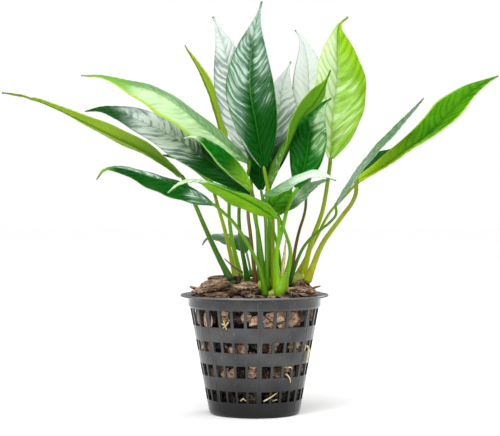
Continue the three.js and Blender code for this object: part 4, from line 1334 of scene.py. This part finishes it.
def build_bark(bark):
    """The flaky lumps on top, and the threads that lie on them."""
    for seed, (node, layers) in enumerate(SLABS, start=1):
        name = node.replace("slab", "flakes").replace("chip", "chips")
        finish_piece(build_slab(name, *slab_axes(node), layers, seed), "bark", bark, node)
    for seed, (name, middle, half, turns, layers) in enumerate(EXTRA_BARK, start=11):
        axes = np.array(Euler([math.radians(t) for t in turns]).to_matrix()).T
        piece = build_slab(name, Vector(middle) * MM, axes, np.array(half) * MM, layers, seed)
        finish_piece(piece, "bark", bark)
    finish_piece(build_fibres(), "growing_medium", bark)


def build_rhizome():
    stem = stalk_material("rhizome_skin", (0.20, 0.24, 0.04), (0.34, 0.46, 0.06),
                          (0.46, 0.56, 0.08), blush=(0.25, 0.16, 0.06), blush_share=0.5)
    for side in ("left", "middle", "front", "right"):
        node = "rhizome_" + side
        finish_piece(dressed_rod(node, "stem_" + side, 0.2, 16), "rhizome", stem, node)


def build_root_system():
    root = root_material("pale_root", (0.72, 0.64, 0.38), (0.52, 0.42, 0.16))
    finish_piece(build_roots(), "root", root)
    finish_piece(dressed_rod("root_right_side", "root_outside"), "root", root, "root_right_side")


def build_old_leaves():
    dry = root_material("dry_sheath", (0.62, 0.58, 0.16), (0.40, 0.30, 0.10))
    sheath = dressed_rod("dry_sheath_front", "old_sheath")
    finish_piece(sheath, "dry_leaf", dry, "dry_sheath_front")
    brown = root_material("dry_stalk", (0.20, 0.10, 0.06), (0.10, 0.05, 0.03))
    finish_piece(dressed_rod("dry_stalk_left", "old_stalk"), "dry_leaf", brown, "dry_stalk_left")


# ---- studio -------------------------------------------------------------------------------

WHITE = (1, 1, 1)
SURROUNDINGS = 0.38        # how strongly the white room lights the plant
LIT_POINT = (0, 0, 0.09)


def area_light(name, at, size, power):
    """A square soft light that points at the leaves."""
    data = bpy.data.lights.new(name, "AREA")
    data.shape = "RECTANGLE"
    data.size = size
    data.size_y = size
    data.energy = power
    light = put_in_scene(bpy.data.objects.new(name, data))
    light.location = at
    light.rotation_mode = "QUATERNION"
    light.rotation_quaternion = (Vector(LIT_POINT) - Vector(at)).to_track_quat("-Z", "Y")


def build_room():
    """A white surround that lights the plant softly and looks plain white to the camera."""
    world = bpy.data.worlds.new("studio")
    world.use_nodes = True
    tree = world.node_tree
    surroundings = tree.nodes["Background"]
    set_inputs(tree, surroundings, {"Color": WHITE, "Strength": SURROUNDINGS})
    backdrop = add(tree, "ShaderNodeBackground", {"Color": WHITE, "Strength": 1.0})
    seen = add(tree, "ShaderNodeLightPath").outputs["Is Camera Ray"]
    shaders = {0: seen, 1: surroundings.outputs[0], 2: backdrop.outputs[0]}
    both = add(tree, "ShaderNodeMixShader", shaders)
    set_inputs(tree, tree.nodes["World Output"], {"Surface": both.outputs[0]})
    bpy.context.scene.world = world


def build_floor():
    floor = primitive(bpy.ops.mesh.primitive_plane_add, "studio_floor", size=8)
    material, tree, shader = new_material("pale_floor")
    set_inputs(tree, shader, {"Base Color": (0.98, 0.98, 0.98), "Roughness": 0.8})
    floor.data.materials.append(material)


def build_lights():
    sun = bpy.data.lights.new("high_softbox", "SUN")
    sun.energy = 2.5
    sun.angle = math.radians(70)
    high = put_in_scene(bpy.data.objects.new("high_softbox", sun))
    high.rotation_euler = (math.radians(30), math.radians(-5), 0)
    area_light("upper_front_left", (-0.35, -0.6, 0.62), 0.35, 2.6)
    area_light("back_right", (0.45, 0.5, 0.4), 0.4, 2.8)


def build_camera():
    data = bpy.data.cameras.new("camera")
    data.sensor_width = 36
    data.lens = 111.6
    data.clip_start = 0.01
    data.clip_end = 20
    data.shift_y = -0.036
    camera = put_in_scene(bpy.data.objects.new("camera", data))
    camera.location = (-0.0017, -0.583, 0.080)
    camera.rotation_euler = (math.radians(90), 0, 0)
    bpy.context.scene.camera = camera
    bpy.context.scene.view_settings.view_transform = "Standard"


build_camera()
build_room()
build_floor()
build_lights()
finish_piece(build_pot(), "pot_plastic", plastic_material(), "net_pot")
broken_bark = bark_material("broken_bark", shade("1c130c"), shade("8c6e54"), shade("d6b296"))
build_growing_medium(broken_bark)
build_bark(broken_bark)
build_root_system()
build_rhizome()
build_old_leaves()
build_leaves()
